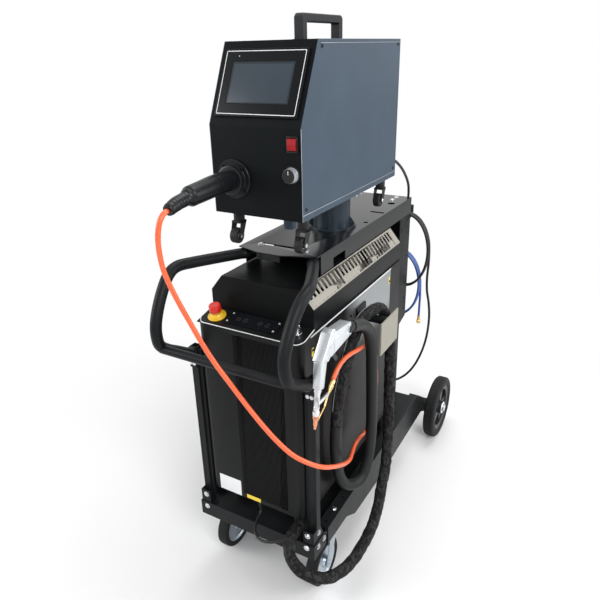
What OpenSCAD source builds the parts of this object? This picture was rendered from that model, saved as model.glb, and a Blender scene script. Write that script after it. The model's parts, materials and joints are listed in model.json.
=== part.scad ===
// Handheld laser welding machine on a trolley: a laser unit low on the deck, a wire
// feeder on a swivel pedestal above it, and the welding torch hung on the right side.
// Millimetres, +Z up, front towards -Y, origin on the floor under the middle.

/* [Trolley] */
// Length over the handle and the rear wheels
overall_l = 1234; // [1180:2:1300]
// Width of the deck across its front corners
deck_w = 392; // [384:2:410]
// Height of the deck's lower edge above the floor
deck_z = 193; // [185:1:205]
// Depth of the deck's folded edge
deck_h = 25; // [20:1:30]
// Sheet thickness of the trolley's folded parts
sheet_t = 3; // [2.5:0.5:4]
// Top of the side rails above the floor
rail_top = 250; // [248:1:260]
// Width of a side rail's top flange
rail_w = 32; // [28:1:36]
// Clearance between the hood and the top plate's flanges
plate_gap = 2; // [1:1:20]
// Width of the top plate
plate_w = 234; // [224:2:240]
// Length of the top plate along its sides
plate_l = 700; // [680:2:716]
// Depth of the top plate's side flanges
flange_h = 52; // [40:1:60]

/* [Wheels] */
// Rear wheel radius
wheel_r = 125; // [110:1:135]
// Rear wheel width over the tyre
wheel_w = 44; // [36:1:46]
// Radius of the rear axle
axle_r = 10; // [8:0.5:12]
// Front caster wheel radius
caster_r = 75; // [62:1:76]
// Front caster wheel width
caster_w = 38; // [30:1:40]
// Distance of a front caster's kingpin from the middle
caster_x = 160; // [150:1:160]

/* [Handle] */
// Diameter of the handle tube
handle_d = 30; // [25:1:34]
// Half width over the handle loops, to the tube's middle
handle_x = 187; // [182:1:190]

/* [Laser unit] */
// Width of the laser unit
unit_w = 316; // [304:2:318]
// Length of the laser unit
unit_l = 662; // [640:2:670]
// Height of the laser unit's floor above the ground
unit_z = 302; // [298:1:310]
// Height of the console's front rim above the unit's floor
console_h = 545; // [530:1:555]
// Height of the hood over the console
hood_h = 95; // [85:1:110]
// Wall of the unit's sheet panels
unit_t = 2; // [1.5:0.5:3]
// Number of louvre slots on each side of the hood
louvre_n = 27; // [10:1:30]

/* [Wire feeder] */
// Width of the wire feeder
feeder_w = 245; // [236:1:250]
// Length of the wire feeder at its floor
feeder_l = 573; // [560:1:600]
// Height of the wire feeder
feeder_h = 381; // [370:1:400]
// Height at which its sloping front starts
bevel_h = 206; // [190:1:215]
// How far the top edge of the front lies back
bevel_back = 82; // [60:1:90]
// Wall of the feeder's sheet panels
feeder_t = 2; // [1.5:0.5:3]
// Height of the feeder's floor above the top plate
feeder_gap = 121; // [118:1:130]
// Radius of the pedestal tube
pedestal_r = 55; // [45:1:60]

/* [Welding torch] */
// Diameter of the umbilical hose to the torch
hose_d = 34; // [30:1:36]
// Diameter of the wire liner
liner_d = 12; // [8:1:12]

/* [Clearances] */
// Radial clearance of a running pin in its bore
run_gap = 0.05; // [0.02:0.01:0.1]
// Gap between parts that pass each other
move_gap = 0.3; // [0.2:0.1:0.5]

/* [Hidden] */
$fn = 48;
over = 1;
hex_fn = 6;

// Colours of the visible finishes
black_paint = [0.09, 0.09, 0.10];
slate_paint = [0.27, 0.32, 0.38];
steel_col = [0.72, 0.73, 0.75];
rubber_col = [0.16, 0.16, 0.17];

// Deck and rails
front_y = -overall_l / 2 + 117;
deck_top = deck_z + deck_h;
deck_rear_y = 200;
corner_l = 76;
corner_w = 36;
corner_h = 92;
rail_out = deck_w / 2 + 4;
rail_in = rail_out - rail_w;
rail_t = 4;
rail_front_y = front_y + corner_l;
axle_y = overall_l / 2 - wheel_r;
axle_z = wheel_r;
rail_end = 26;
platform_l = 130;
cross_y = [front_y + 250, front_y + 560];
rail_hole_r = 4;
rail_hole_step = 55;

// Front posts
post_w = 22;
post_d = 22;
post_x = deck_w / 2 - sheet_t - post_w;
post_y = front_y + 21;
post_top = unit_z + console_h - 82;

// Rear column
column_x = plate_w / 2 - sheet_t;
column_front = 290;
column_rear = 390;
column_neck = 545;
column_leg = 40;
column_t = 4;

// Top plate
plate_z = unit_z + console_h + 16 + hood_h + plate_gap + flange_h + sheet_t;
plate_front = -316;
plate_rear = plate_front + plate_l;
plate_bow = 32;
plate_hole_r = 12;
slot_w = 13;

// Rear wheels
wheel_gap = 18;
wheel_x = rail_out + wheel_gap + wheel_w / 2;
rim_r = wheel_r - 34;
hub_r = 26;
spoke_n = 5;
cap_t = 5;

// Front casters
caster_y = front_y + 140;
caster_trail = 30;
caster_plate_l = 100;
caster_plate_w = 64;
caster_plate_t = 4;
race_r = 30;
race_h = 15;
kingpin_r = 6;
crown_h = 12;
fork_t = 4;
fork_gap = 4;

// Handle route, right side, in the order in which the tube runs
handle_in = 96;
handle_tab = 6;
handle_top = plate_z - sheet_t - handle_tab - handle_d / 2 + 3;
handle_foot = post_x + 7;
handle_route = [[handle_in, plate_front + 48, handle_top], [handle_in + 3, plate_front + 14, handle_top],
    [handle_in + 8, plate_front - 4, handle_top], [handle_in + 20, plate_front - 22, handle_top + 1],
    [handle_x - 14, front_y + 42, handle_top + 7], [handle_x + 1, front_y, handle_top + 7],
    [handle_x + 2, front_y - 30, handle_top - 4], [handle_x, front_y - 56, handle_top - 29],
    [handle_x - 2, front_y - 83, handle_top - 69], [handle_x - 3, front_y - 100, post_top + 120],
    [handle_x - 2, front_y - 102, post_top + 85], [handle_x - 1, front_y - 94, post_top + 57],
    [handle_x - 3, front_y - 72, post_top + 36], [handle_foot + 3, front_y - 40, post_top + 16],
    [handle_foot + 1, front_y - 10, post_top - 3], [handle_foot, post_y - 6.5, post_top - 17]];
grab_y = front_y - 92;
grab_z = post_top + 47;

// Laser unit
unit_front = -480;
unit_rear = unit_front + unit_l;
console_z = unit_z + console_h;
hood_front = unit_front + 70;
louvre_pitch = 20.5;
hood_top = console_z + 16 + hood_h;
chamfer_w = 36;
chamfer_h = 44;
panel_front = unit_front + 46;
panel_rear = 100;
panel_t = 2;
foot_r = 18;
rib_n = 40;
front_t = 6;
front_round = 20;
floor_t = 3;

console_lift = 16;
console_run = hood_front - unit_front;
unit_top = console_z + 8;
hood_in = 3;
rib_x = -45;
rib_pitch = 3.75;
rib_deep = 1.2;

// Laser source and power supply inside the unit
source_x = -55;
source_w = unit_w - 166;
source_l = unit_l - 232;
source_h = 150;
fin_n = 8;
fin_pitch = source_l / 8.6;
supply_x = 84;
supply_w = 96;
supply_l = unit_l - 252;
supply_h = 210;

// Console fittings, s measured up the console's slope
estop_x = -117;
estop_s = 37;
estop_r = 16.5;
collar_r = 25;
collar_h = 12;
collar_bore = 11;
stem_r = 8;
estop_travel = 5;
key_x = 125;
key_s = 40;
key_r = 9;
key_hole_r = 8;
key_core_r = 5;
display_x = -6;
display_s = 19;
display_w = 154;
display_d = 47;
display_t = 3;

// Fan in the unit's rear wall
fan_r = 55;
fan_z = unit_z + 300;
fan_y = unit_rear - 8;
fan_arm = 6;
fan_boss_r = 14;
fan_pin_r = 4;
blade_n = 7;

// Pedestal and swivel
swivel_x = 18;
swivel_y = -40;
flange_r = 72;
flange_t = 6;
pivot_r = 12;
ring_h = 8;
feeder_z = plate_z + feeder_gap;
table_t = 4;

// Feeder
feeder_x = 18;
feeder_front_y = -428;
feeder_rear_y = feeder_front_y + feeder_l;
feeder_top = feeder_z + feeder_h;
half_w = feeder_w / 2;
socket_x = -42;
socket_z = feeder_z + 85;
socket_r = 50;
socket_t = 6;
knob_x = 115;
knob_z = feeder_z + 106;
knob_r = 16;
rocker_x = 118;
rocker_z = feeder_z + 172;
rocker_w = 22;
rocker_h = 28;
hmi_w = 218;
hmi_h = 154;
hmi_t = 6;
hmi_up = 19;
screen_w = 165;
screen_h = 96;
knob_shaft = 3;
rocker_pin = 2;
table_r = 70;
motor_hole_r = 22;
spindle_r = 25;
roll_shaft = 5;
arm_back = 34;
arm_up = 45;
grip_y = -205;
grip_l = 195;
grip_h = 59;
grip_w = 26;
grip_t = 20;
door_gap = 1;
hinge_r = 4;
trim_w = 14;

// Inside the feeder
spool_y = -15;
spool_z = feeder_z + 190;
spool_r = 148;
spool_w = 90;
bulk_x = feeder_x + 20;
roll_r = 16;
roll_y = -250;
roll_z = feeder_z + 110;

// Feeder casters
fcaster_r = 20;
fcaster_w = 10;
fcaster_trail = 14;
fcaster_post = 5;
fcaster_at = [[feeder_x - 89, -380], [feeder_x + 96, -380], [feeder_x - 93, 105], [feeder_x + 92, 105]];
hinge_x = feeder_x - half_w;
hinge_y = feeder_rear_y + hinge_r + 0.3;
hinge_z = [feeder_z + 60, feeder_top - 60];

// Hanger
hanger_y = -134;
hanger_z = 785;
hanger_r = 12;
hanger_l = 88;
hanger_plate = 126;
hanger_drop = 98;
hanger_t = 4;

// Torch, placed by its rear end
torch_x = 222;
torch_tail = [torch_x, -340, 856];
torch_route = [[torch_x, -340.1, 856.04], [torch_x, -350, 860], [torch_x, -360, 863], [torch_x, -376, 866]];
torch_d = [29, 34, 38, 38];
grip_half = 16;
head_half = 14;
muzzle_half = 10.5;
grip_side = [[-368, 850], [-478, 839], [-492, 846], [-478, 880], [-452, 893], [-370, 885]];
head_side = [[-448, 888], [-456, 903], [-474, 897], [-519, 842], [-490, 832], [-476, 842]];
muzzle_side = [[-519, 842], [-526, 772], [-506, 768], [-490, 832]];
neck_end = [torch_x, -517, 782];
trigger_y = -478;
trigger_z = 862;
trigger_pin = 2.5;

// Cord routes; a point's height is noted with the top plate at 1015 and carried along with it
noted_plate = 1015;
function hung(z) = z + (plate_z - noted_plate) * max(0, z - unit_z) / (noted_plate - unit_z);
outlet_x = 138;
outlet_y = unit_front + 10;
outlet_z = unit_z - 21;
gland_y = unit_front + 16;
gland_z = unit_z - 30;
hose_route = [[outlet_x, outlet_y, outlet_z], [138, -508, 281], [142, -540, 274], [160, -568, 258],
    [190, -578, 240], [225, -572, 224], [258, -545, 210], [280, -500, 202], [289, -445, 196],
    [290, -385, 194], [290, -335, 198], [286, -285, 208], [278, -240, 226], [270, -195, 256],
    [262, -150, 300], [253, -118, 350], [246, -100, 410], [241, -88, 480], [236, -78, 560],
    [231, -70, 640], [226, -70, 705], [222, -84, 760], [217, -102, 796], [212, -118, 814],
    [208, -142, 820], [203, -172, 822], [197, -212, 814], [192, -246, 785], [188, -276, 740], [187, -308, 685],
    [187, -336, 620], [188, -350, 550], [188, -354, 480], [188, -346, 415], [190, -328, 355],
    [196, -298, 308], [206, -258, 284], [216, -226, 292], [222, -206, 330], [225, -194, 385],
    [226, -190, 450], [226, -191, 520], [226, -195, 590], [226, -200, 660], [226, -206, 725],
    [225, -222, 780], [224, -250, 815], [223, -285, 836], [222, -316, 846.4], torch_tail];
sleeve_route = [[socket_x, feeder_front_y - 22, socket_z], [socket_x, feeder_front_y - 72, socket_z],
    [socket_x - 2, feeder_front_y - 122, socket_z - 4], [socket_x - 3, feeder_front_y - 162, socket_z - 7],
    [socket_x - 3, feeder_front_y - 176, socket_z - 9], [socket_x - 3, feeder_front_y - 206, socket_z - 13],
    [socket_x - 3, feeder_front_y - 234, socket_z - 21]];
sleeve_d = [48, 49, 47, 46, 32, 31, 27];
liner_route = [[socket_x - 3, feeder_front_y - 234.3, socket_z - 21.1],
    [socket_x - 3, feeder_front_y - 248, socket_z - 25], [-48, -688, socket_z - 43],
    [-57, -688, socket_z - 83],
    [-64, -678, hung(1085)], [-60, -668, hung(1040)], [-46, -658, hung(990)], [-28, -648, hung(940)],
    [-4, -642, hung(890)],
    [24, -636, 842], [55, -628, 795], [92, -622, 745], [128, -616, 700], [162, -608, 660],
    [196, -596, 625], [226, -572, 595], [244, -536, 565], [250, -490, 535], [246, -440, 502],
    [238, -390, 470], [226, -340, 443], [210, -290, 424], [196, -240, 412], [190, -195, 404],
    [196, -155, 412], [202, -130, 445], [204, -115, 500], [203, -107, 570], [201, -113, 628]];
liner_tail = [[199, -136, 680], [198, -168, 708], [200.5, -203, 728], [207, -235, 741],
    [215, -264, 753], [220, -295, 764], [220, -330, 772], [219, -362, 775], [220, -392, 774],
    [221, -413, 769], [torch_x, -427, 762.7], [torch_x, -439, 752]];
lead_d = 9;
lead_pitch = 10;
lead_turns = 2.25;
lead_x = 93;
lead_z = plate_z - 207;
lead_wide = 86;
lead_high = 138;
lead_y = 408;
lead_n = 24;
lead_drop = [[112, feeder_rear_y + move_gap, feeder_z + 44], [112, feeder_rear_y + 28, feeder_z + 44],
    [114, feeder_rear_y + 80, feeder_z + 26], [112, feeder_rear_y + 155, feeder_z - 16],
    [104, feeder_rear_y + 233, feeder_z - 76], [98, lead_y - 5, plate_z - 15]];
lead_loop = [for (i = [0:lead_n * lead_turns]) let (a = 90 - 360 * i / lead_n)
    [lead_x + lead_wide * cos(a), lead_y + lead_pitch * i / lead_n, lead_z + lead_high * sin(a)]];
lead_tail = [[179, 433, lead_z - 48], [177, 434, hung(705)], [180, 434, hung(655)],
    [190, 434, hung(605)], [196, 433, hung(545)],
    [192, 430, hung(465)], [176, 425, hung(390)], [150, 415, 325], [118, 395, 285], [80, 360, 272],
    [45, 310, 284], [25, 260, 318], [18, 215, 346], [18, unit_rear + move_gap, 346]];
lead_path = concat(lead_drop, lead_loop, lead_tail);
blue_d = 9;
blue_turns = 2.5;
blue_x = 60;
blue_z = plate_z - 355;
blue_wide = 82;
blue_high = 130;
blue_y = 442;
blue_path = concat([[-60, unit_rear + move_gap, 420], [-60, 215, 420], [-59, 270, 436],
    [-52, 330, hung(476)], [-42, 392, hung(520)], [-32, 428, hung(575)]],
    [for (i = [0:lead_n * blue_turns])
    let (a = 190 - 360 * i / lead_n)
    [blue_x + blue_wide * cos(a), blue_y + lead_pitch * i / lead_n, blue_z + blue_high * sin(a)]],
    [[144, 468, blue_z - 40], [144, 468, blue_z - 100], [144, 468, blue_z - 140]]);
signal_d = 8;
signal_route = [[0, gland_y, gland_z], [0, gland_y, gland_z - 10], [1, -472, 253], [4, -488, 250],
    [10, -508, 249], [20, -528, 247], [38, -544, 245], [62, -550, 247],
    [88, -548, 254], [110, -538, 262], [121, -530, 268]];
peg_r = 9;
peg_a_l = 66;
peg_b_l = 90;
peg_a_z = lead_z + lead_high - lead_d / 2 - peg_r - 0.5;
peg_b_z = blue_z + blue_high - blue_d / 2 - peg_r - 0.5;

// A cross section ring of a tube at point i of a route
function along(r, i) = let (a = r[max(i - 1, 0)], b = r[min(i + 1, len(r) - 1)], d = b - a) d / norm(d);
function side_of(d, up) = let (s = cross(d, up)) s / norm(s);
function frames(r, i = 0, prev = [0, 0, 1]) = i == len(r) ? [] :
    let (d = along(r, i), s = side_of(d, abs(d * prev) > 0.98 ? [1, 0, 0] : prev), u = cross(s, d))
    concat([[s, u]], frames(r, i + 1, u));

// Least free space between two stretches of one tube, measured on its points
function least_gap(r, d, apart) = min([for (i = [0:len(r) - 1 - apart], j = [i + apart:len(r) - 1])
    norm(r[i] - r[j]) - d]);
echo(feeder_lead_gap = least_gap(lead_path, lead_d, 6));
echo(blue_hose_gap = least_gap(blue_path, blue_d, 6));

// A closed tube swept along a route
module swept(route, d, sides) {
    n = len(route);
    f = frames(route);
    pts = [for (i = [0:n - 1], k = [0:sides - 1]) let (w = is_list(d) ? d[i] : d)
        route[i] + w / 2 * (cos(360 * k / sides) * f[i][0] + sin(360 * k / sides) * f[i][1])];
    walls = [for (i = [0:n - 2], k = [0:sides - 1], t = [0, 1])
        let (a = i * sides + k, b = i * sides + (k + 1) % sides)
        t == 0 ? [a, b, b + sides] : [a, b + sides, a + sides]];
    tip = [for (k = [1:sides - 2], e = [0, 1])
        e == 0 ? [0, k + 1, k] : [(n - 1) * sides, (n - 1) * sides + k, (n - 1) * sides + k + 1]];
    polyhedron(pts, concat(walls, tip));
}

module block(x0, x1, y0, y1, z0, z1) {
    translate([x0, y0, z0]) cube([x1 - x0, y1 - y0, z1 - z0]);
}

module both_sides() {
    children();
    mirror([1, 0, 0]) children();
}

// A plate of thickness t in the Y-Z plane, from x = x0
module side_plate(pts, x0, t) {
    translate([x0, 0, 0]) rotate([90, 0, 90]) linear_extrude(t) polygon(pts);
}

// A rod along X from x0 to x1
module rod_x(r, x0, x1) {
    translate([x0, 0, 0]) rotate([0, 90, 0]) cylinder(r = r, h = x1 - x0);
}

// A rod along Y from y0 to y1
module rod_y(r, y0, y1) {
    translate([0, y0, 0]) rotate([-90, 0, 0]) cylinder(r = r, h = y1 - y0);
}

module pin_z(r, x, y, z0, z1) {
    translate([x, y, z0]) cylinder(r = r, h = z1 - z0);
}

// A round bar in a plane across X, from point p towards point q
module bar(r, p, q, extra = 0) {
    d = q - p;
    translate(p) rotate([atan2(d[2], d[1]) - 90, 0, 0]) cylinder(r = r, h = norm(d) + extra);
}

// ---- Trolley ----

module base_pan() {
    w = deck_w / 2;
    inner = rail_in - sheet_t;
    color(black_paint) {
        block(-w, w, front_y, rail_front_y, deck_top - sheet_t, deck_top);
        block(-w, w, front_y, front_y + sheet_t, deck_z, deck_top + deck_h);
        block(-inner, inner, rail_front_y - over, deck_rear_y, deck_top - sheet_t, deck_top);
        both_sides() {
            block(w - sheet_t, w, front_y, rail_front_y, deck_z, deck_top + deck_h);
            block(inner, rail_in, rail_front_y - sheet_t, deck_rear_y, deck_top - sheet_t, rail_top);
            block(inner, w, rail_front_y - sheet_t, rail_front_y, deck_top - sheet_t, rail_top);
        }
        block(-inner, inner, deck_rear_y - sheet_t, deck_rear_y, deck_top - sheet_t, rail_top);
    }
}

module chassis_frame() {
    web = [[rail_front_y, deck_z - 3], [caster_y + 60, deck_z - 7], [caster_y + 122, deck_z - 47],
        [caster_y + 304, deck_z - 59],
        [axle_y - 92, deck_z - 53], [axle_y - 20, axle_z - 22], [axle_y + 20, axle_z + 16],
        [axle_y - 40, axle_z + 50], [345, rail_top], [rail_front_y, rail_top]];
    color(black_paint) difference() {
        union() {
            both_sides() {
                side_plate(web, rail_out - rail_t, rail_t);
                translate([rail_out - rail_t, axle_y, axle_z]) rotate([0, 90, 0])
                    cylinder(r = rail_end, h = rail_t);
                block(rail_in, rail_out, rail_front_y, 345, rail_top - rail_t, rail_top);
            }
            block(-rail_out + over, rail_out - over, 200, 200 + platform_l, rail_top - rail_t, rail_top);
            for (y = cross_y)
                block(-rail_out + over, rail_out - over, y, y + 40, deck_top - sheet_t - rail_w,
                    deck_top - sheet_t);
        }
        rod_at_axle(axle_r + run_gap, rail_out + over);
        both_sides() for (i = [0:5])
            pin_z(rail_hole_r, (rail_in + rail_out - rail_t) / 2, rail_front_y + 20 + i * rail_hole_step,
                rail_top - rail_t - over, rail_top + over);
    }
}

module rod_at_axle(r, half) {
    translate([0, axle_y, axle_z]) rod_x(r, -half, half);
}

module axle() {
    inner = wheel_x - wheel_w / 2 - move_gap;
    outer = wheel_x + wheel_w / 2;
    color(steel_col) {
        rod_at_axle(axle_r, outer + move_gap + cap_t);
        both_sides() translate([0, axle_y, axle_z]) {
            rod_x(axle_r + 4, rail_out, inner);
            rod_x(axle_r + 4, outer + move_gap, outer + move_gap + cap_t + 4);
        }
    }
}

module front_posts() {
    foot = 4;
    gusset_h = 67;
    color(black_paint) both_sides() difference() {
        union() {
            block(post_x - 11, deck_w / 2 - sheet_t, front_y + sheet_t, post_y + post_d, deck_top,
                deck_top + foot);
            block(post_x, post_x + post_w, post_y, post_y + post_d, deck_top, post_top);
            block(post_x - 11, deck_w / 2 - sheet_t, front_y + sheet_t, front_y + 2 * sheet_t, deck_top,
                deck_top + gusset_h);
            side_plate([[front_y + sheet_t, deck_top], [rail_front_y - 14, deck_top],
                [rail_front_y - 14, deck_top + deck_h], [post_y + post_d, deck_top + gusset_h],
                [front_y + sheet_t, deck_top + gusset_h]], post_x + post_w - sheet_t, sheet_t);
        }
        block(post_x + 2, post_x + post_w - sheet_t, post_y + 2, post_y + post_d - 2,
            deck_top + foot, post_top + over);
    }
}

module rear_column() {
    f = column_front;
    r = column_rear;
    flange = [[f, rail_top], [f + column_leg, rail_top], [f + column_leg, column_neck],
        [r, column_neck + 15], [r, plate_z - sheet_t], [f, plate_z - sheet_t]];
    holes = [[362, 938], [372, 891], [374, 804], [370, 636], [371, 595], [310, 914]];
    color(black_paint) difference() {
        union() {
            both_sides() side_plate(flange, column_x - column_t, column_t);
            block(-column_x, column_x, f, f + column_leg, rail_top, rail_top + column_t);
            block(-column_x, column_x, f, r, plate_z - sheet_t - column_t, plate_z - sheet_t);
            block(-column_x, column_x, r - column_t, r, column_neck + 15, plate_z - sheet_t);
            for (p = [[lead_x, peg_a_z, peg_a_l], [blue_x, peg_b_z, peg_b_l]]) translate([p[0], 0, p[1]]) {
                rod_y(peg_r, r - over, r + p[2]);
                translate([0, r + p[2], 0]) cylinder(r = peg_r, h = 4 * peg_r);
            }
        }
        for (p = holes) translate([0, p[0], p[1]])
            rod_x(rail_hole_r, -column_x - over, column_x + over);
    }
}

module top_plate() {
    w = plate_w / 2;
    f = plate_front;
    low = plate_z - sheet_t - flange_h;
    outline = [[-w, f - 10], [-47, f - plate_bow], [22, f - plate_bow], [65, f - 15], [w, f],
        [w, plate_rear], [-w, plate_rear]];
    color(black_paint) difference() {
        union() {
            translate([0, 0, plate_z - sheet_t]) linear_extrude(sheet_t) polygon(outline);
            both_sides() block(w - sheet_t, w, f, plate_rear, low, plate_z - over / 2);
            block(-48, 22, f - plate_bow + 2, f - plate_bow + 2 + sheet_t, plate_z - 20, plate_z - over / 2);
        }
        pin_z(plate_hole_r, 86, 270, plate_z - 2 * sheet_t, plate_z + over);
        translate([64, 140, plate_z - 2 * sheet_t]) cube([w - 64 - 8, slot_w, 3 * sheet_t]);
        translate([-79, f + 30, plate_z - 2 * sheet_t]) cube([120, slot_w, 3 * sheet_t]);
        pin_z(7, 100, 25, plate_z - 2 * sheet_t, plate_z + over);
        both_sides() {
            block(w - sheet_t - over, w + over, -227, -153, low - over, plate_z - 30);
            block(w - sheet_t - over, w + over, f - over, f + 18, low - over, plate_z - sheet_t);
        }
    }
}

module handle_frame() {
    z0 = plate_z - sheet_t;
    color(black_paint) {
        swept(handle_route, handle_d, 16);
        swept([for (i = [len(handle_route) - 1:-1:0]) [-handle_route[i][0], handle_route[i][1],
            handle_route[i][2]]], handle_d, 16);
        both_sides() {
            block(handle_in - handle_d / 2, handle_in + handle_d / 2, plate_front + 2, plate_front + 60,
                z0 - handle_tab, z0);
            block(post_x, post_x + post_w, post_y - handle_tab, post_y, post_top - 62, post_top);
        }
        translate([0, grab_y, grab_z]) rod_x(12, -handle_x + 4, handle_x - 4);
    }
}

module caster_plates() {
    z0 = deck_top - sheet_t - caster_plate_t;
    z2 = z0 - race_h - crown_h - 2 * move_gap;
    color(steel_col) both_sides() {
        block(caster_x - caster_plate_w / 2, caster_x + caster_plate_w / 2,
            caster_y - caster_plate_l / 2, caster_y + caster_plate_l / 2, z0, z0 + caster_plate_t);
        pin_z(race_r, caster_x, caster_y, z0 - race_h, z0 + over);
        pin_z(kingpin_r, caster_x, caster_y, z2 - 5, z0);
        pin_z(kingpin_r + 4, caster_x, caster_y, z2 - 5, z2);
    }
}

module bolt_z(x, y, z) {
    translate([x, y, z]) cylinder(r = 6, h = 4, $fn = hex_fn);
}

module bolt_y(x, y, z) {
    translate([x, y, z]) rotate([90, 0, 0]) cylinder(r = 6.5, h = 4.5, $fn = hex_fn);
}

module bolt_x(x, y, z) {
    translate([x, y, z]) rotate([0, 90, 0]) cylinder(r = 6.5, h = 4.5, $fn = hex_fn);
}

module trolley_bolts() {
    w = deck_w / 2;
    color(steel_col) both_sides() {
        bolt_y(w - 24, front_y, deck_top + 12);
        bolt_y(post_x + 3, front_y + sheet_t, deck_top + 54);
        bolt_x(w, front_y + 22, deck_top + 10);
        bolt_x(w, front_y + 56, deck_top + 10);
        bolt_x(post_x + post_w, front_y + 30, deck_top + 52);
        for (x = [post_x + 5.2, post_x + post_w - 5.2])
            translate([x, post_y - handle_tab, post_top - 48]) rotate([90, 0, 0])
                cylinder(r = 5, h = 4, $fn = hex_fn);
        for (y = [column_front + 12, column_front + 28])
            bolt_z(80, y, rail_top + column_t);
        bolt_z(70, plate_front + 26, plate_z);
        bolt_z(70, column_front + 30, plate_z);
        bolt_z(70, column_front + 70, plate_z);
        for (y = [rail_front_y + 75, rail_front_y + 350])
            bolt_z(rail_in + 14, y, rail_top);
    }
}

module pedestal() {
    z0 = plate_z;
    z1 = feeder_z - table_t - move_gap;
    color(slate_paint) translate([swivel_x, swivel_y, 0]) {
        difference() {
            union() {
                pin_z(flange_r, 0, 0, z0, z0 + flange_t);
                pin_z(pedestal_r, 0, 0, z0, z1);
                pin_z(flange_r, 0, 0, z1 - flange_t, z1);
                for (a = [0:90:270]) rotate([0, 0, a + 20])
                    side_plate([[0, z0], [flange_r - 4, z0], [flange_r - 4, z0 + 9],
                        [pedestal_r + 2, z0 + 26], [0, z0 + 26]], -2, 4);
            }
            pin_z(pedestal_r - 4, 0, 0, z0 + flange_t, z1 - flange_t);
        }
        pin_z(pivot_r, 0, 0, z1 - over, feeder_z + ring_h);
        pin_z(pivot_r + 6, 0, 0, feeder_z + feeder_t + move_gap, feeder_z + ring_h);
    }
}

module hose_hanger() {
    x0 = unit_w / 2;
    x1 = x0 + hanger_l;
    color([0.62, 0.60, 0.56]) {
        block(x0, x0 + hanger_t, hanger_y - 32, hanger_y + 32, hanger_z - 34, hanger_z + 34);
        translate([0, hanger_y, hanger_z]) rod_x(hanger_r, x0 + over, x1 + over);
        block(x1, x1 + hanger_t, hanger_y - hanger_plate / 2, hanger_y + hanger_plate / 2,
            hanger_z - 80, hanger_z - 80 + hanger_drop);
    }
}

// ---- Laser unit ----

slope = atan2(console_lift, console_run);

// Local frame on the console: X across, Y up its slope, Z out of its face
module on_console() {
    translate([0, unit_front, console_z]) rotate([slope, 0, 0]) children();
}

module above_console(below) {
    on_console() block(-unit_w, unit_w, -console_run, 3 * console_run, -below, 3 * console_run);
}

module unit_case() {
    w = unit_w / 2;
    in = w - panel_t;
    z1 = unit_z + floor_t;
    deck = unit_top - unit_t;
    f = unit_front + front_t;
    color([0.13, 0.14, 0.15]) difference() {
        union() {
            block(-in, in, panel_front, unit_rear, unit_z, z1);
            block(front_round - w, w - front_round, f, panel_front + over, unit_z, z1);
            block(-in, in, unit_rear - unit_t, unit_rear, z1 - over, deck + over);
            block(-w, w, hood_front, unit_rear, deck, unit_top);
            both_sides() {
                block(in - unit_t, w, panel_rear, unit_rear, unit_z, unit_top);
                block(in - 14, in, panel_front + 6, panel_front + 18, z1 - over, deck + over);
                for (y = [unit_front + 92, panel_rear + 20])
                    pin_z(foot_r, w - 38, y, deck_top, unit_z + over);
            }
            translate([0, unit_rear - fan_arm, fan_z]) rod_y(fan_boss_r, 0, fan_arm);
        }
        translate([0, 0, fan_z]) difference() {
            rod_y(fan_r + 3, unit_rear - unit_t - over, unit_rear + over);
            for (a = [0:45:135]) rotate([0, a, 0])
                block(-2, 2, unit_rear - 2 * unit_t, unit_rear + 2 * over, -fan_r - 9, fan_r + 9);
            rod_y(fan_boss_r, unit_rear - 2 * unit_t, unit_rear + 2 * over);
        }
    }
    color(steel_col) translate([0, fan_y - 18, fan_z]) rod_y(fan_pin_r, 0, 20);
}

module front_panel() {
    w = unit_w / 2;
    f = unit_front;
    fr = front_round;
    side_t = panel_t + unit_t;
    color(black_paint) difference() {
        union() {
            block(-w + fr, w - fr, f, f + front_t, unit_z, console_z + console_lift);
            both_sides() {
                block(w - side_t, w, f + fr, panel_front, unit_z, console_z + console_lift);
                difference() {
                    pin_z(fr, w - fr, f + fr, unit_z, console_z + console_lift);
                    pin_z(fr - side_t, w - fr, f + fr, unit_z - over, console_z + 2 * console_lift);
                    block(0, w - fr, f - over, f + 3 * fr, unit_z - over, console_z + 2 * console_lift);
                    block(0, w + over, f + fr, f + 3 * fr, unit_z - over, console_z + 2 * console_lift);
                }
            }
        }
        above_console(unit_t);
        for (i = [0:rib_n - 1])
            block(rib_x + i * rib_pitch, rib_x + i * rib_pitch + rib_pitch / 2, f - over, f + rib_deep,
                unit_z + 14, console_z - 14);
    }
}

module console_panel() {
    w = unit_w / 2;
    len_s = norm([console_run, console_lift]);
    color(black_paint) difference() {
        union() {
            on_console() block(-w, w, 0, len_s - 2 * move_gap, -unit_t, 0);
            both_sides() difference() {
                block(w - panel_t, w, panel_front, hood_front, unit_top - 30, unit_top + console_lift);
                above_console(unit_t / 2);
            }
        }
        on_console() {
            pin_z(collar_bore, estop_x, estop_s, -2 * unit_t, over);
            pin_z(key_hole_r, key_x, key_s, -2 * unit_t, over);
        }
    }
}

module display_panel() {
    x0 = display_x - display_w / 2;
    x1 = display_x + display_w / 2;
    color([0.05, 0.06, 0.07]) on_console() {
        block(x0, x1, display_s, display_s + display_d, 0, display_t);
        for (x = [x0 + 7, x1 - 7], s = [display_s + 7, display_s + display_d - 7])
            pin_z(2.6, x, s, display_t - over, display_t + 1);
    }
}

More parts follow.
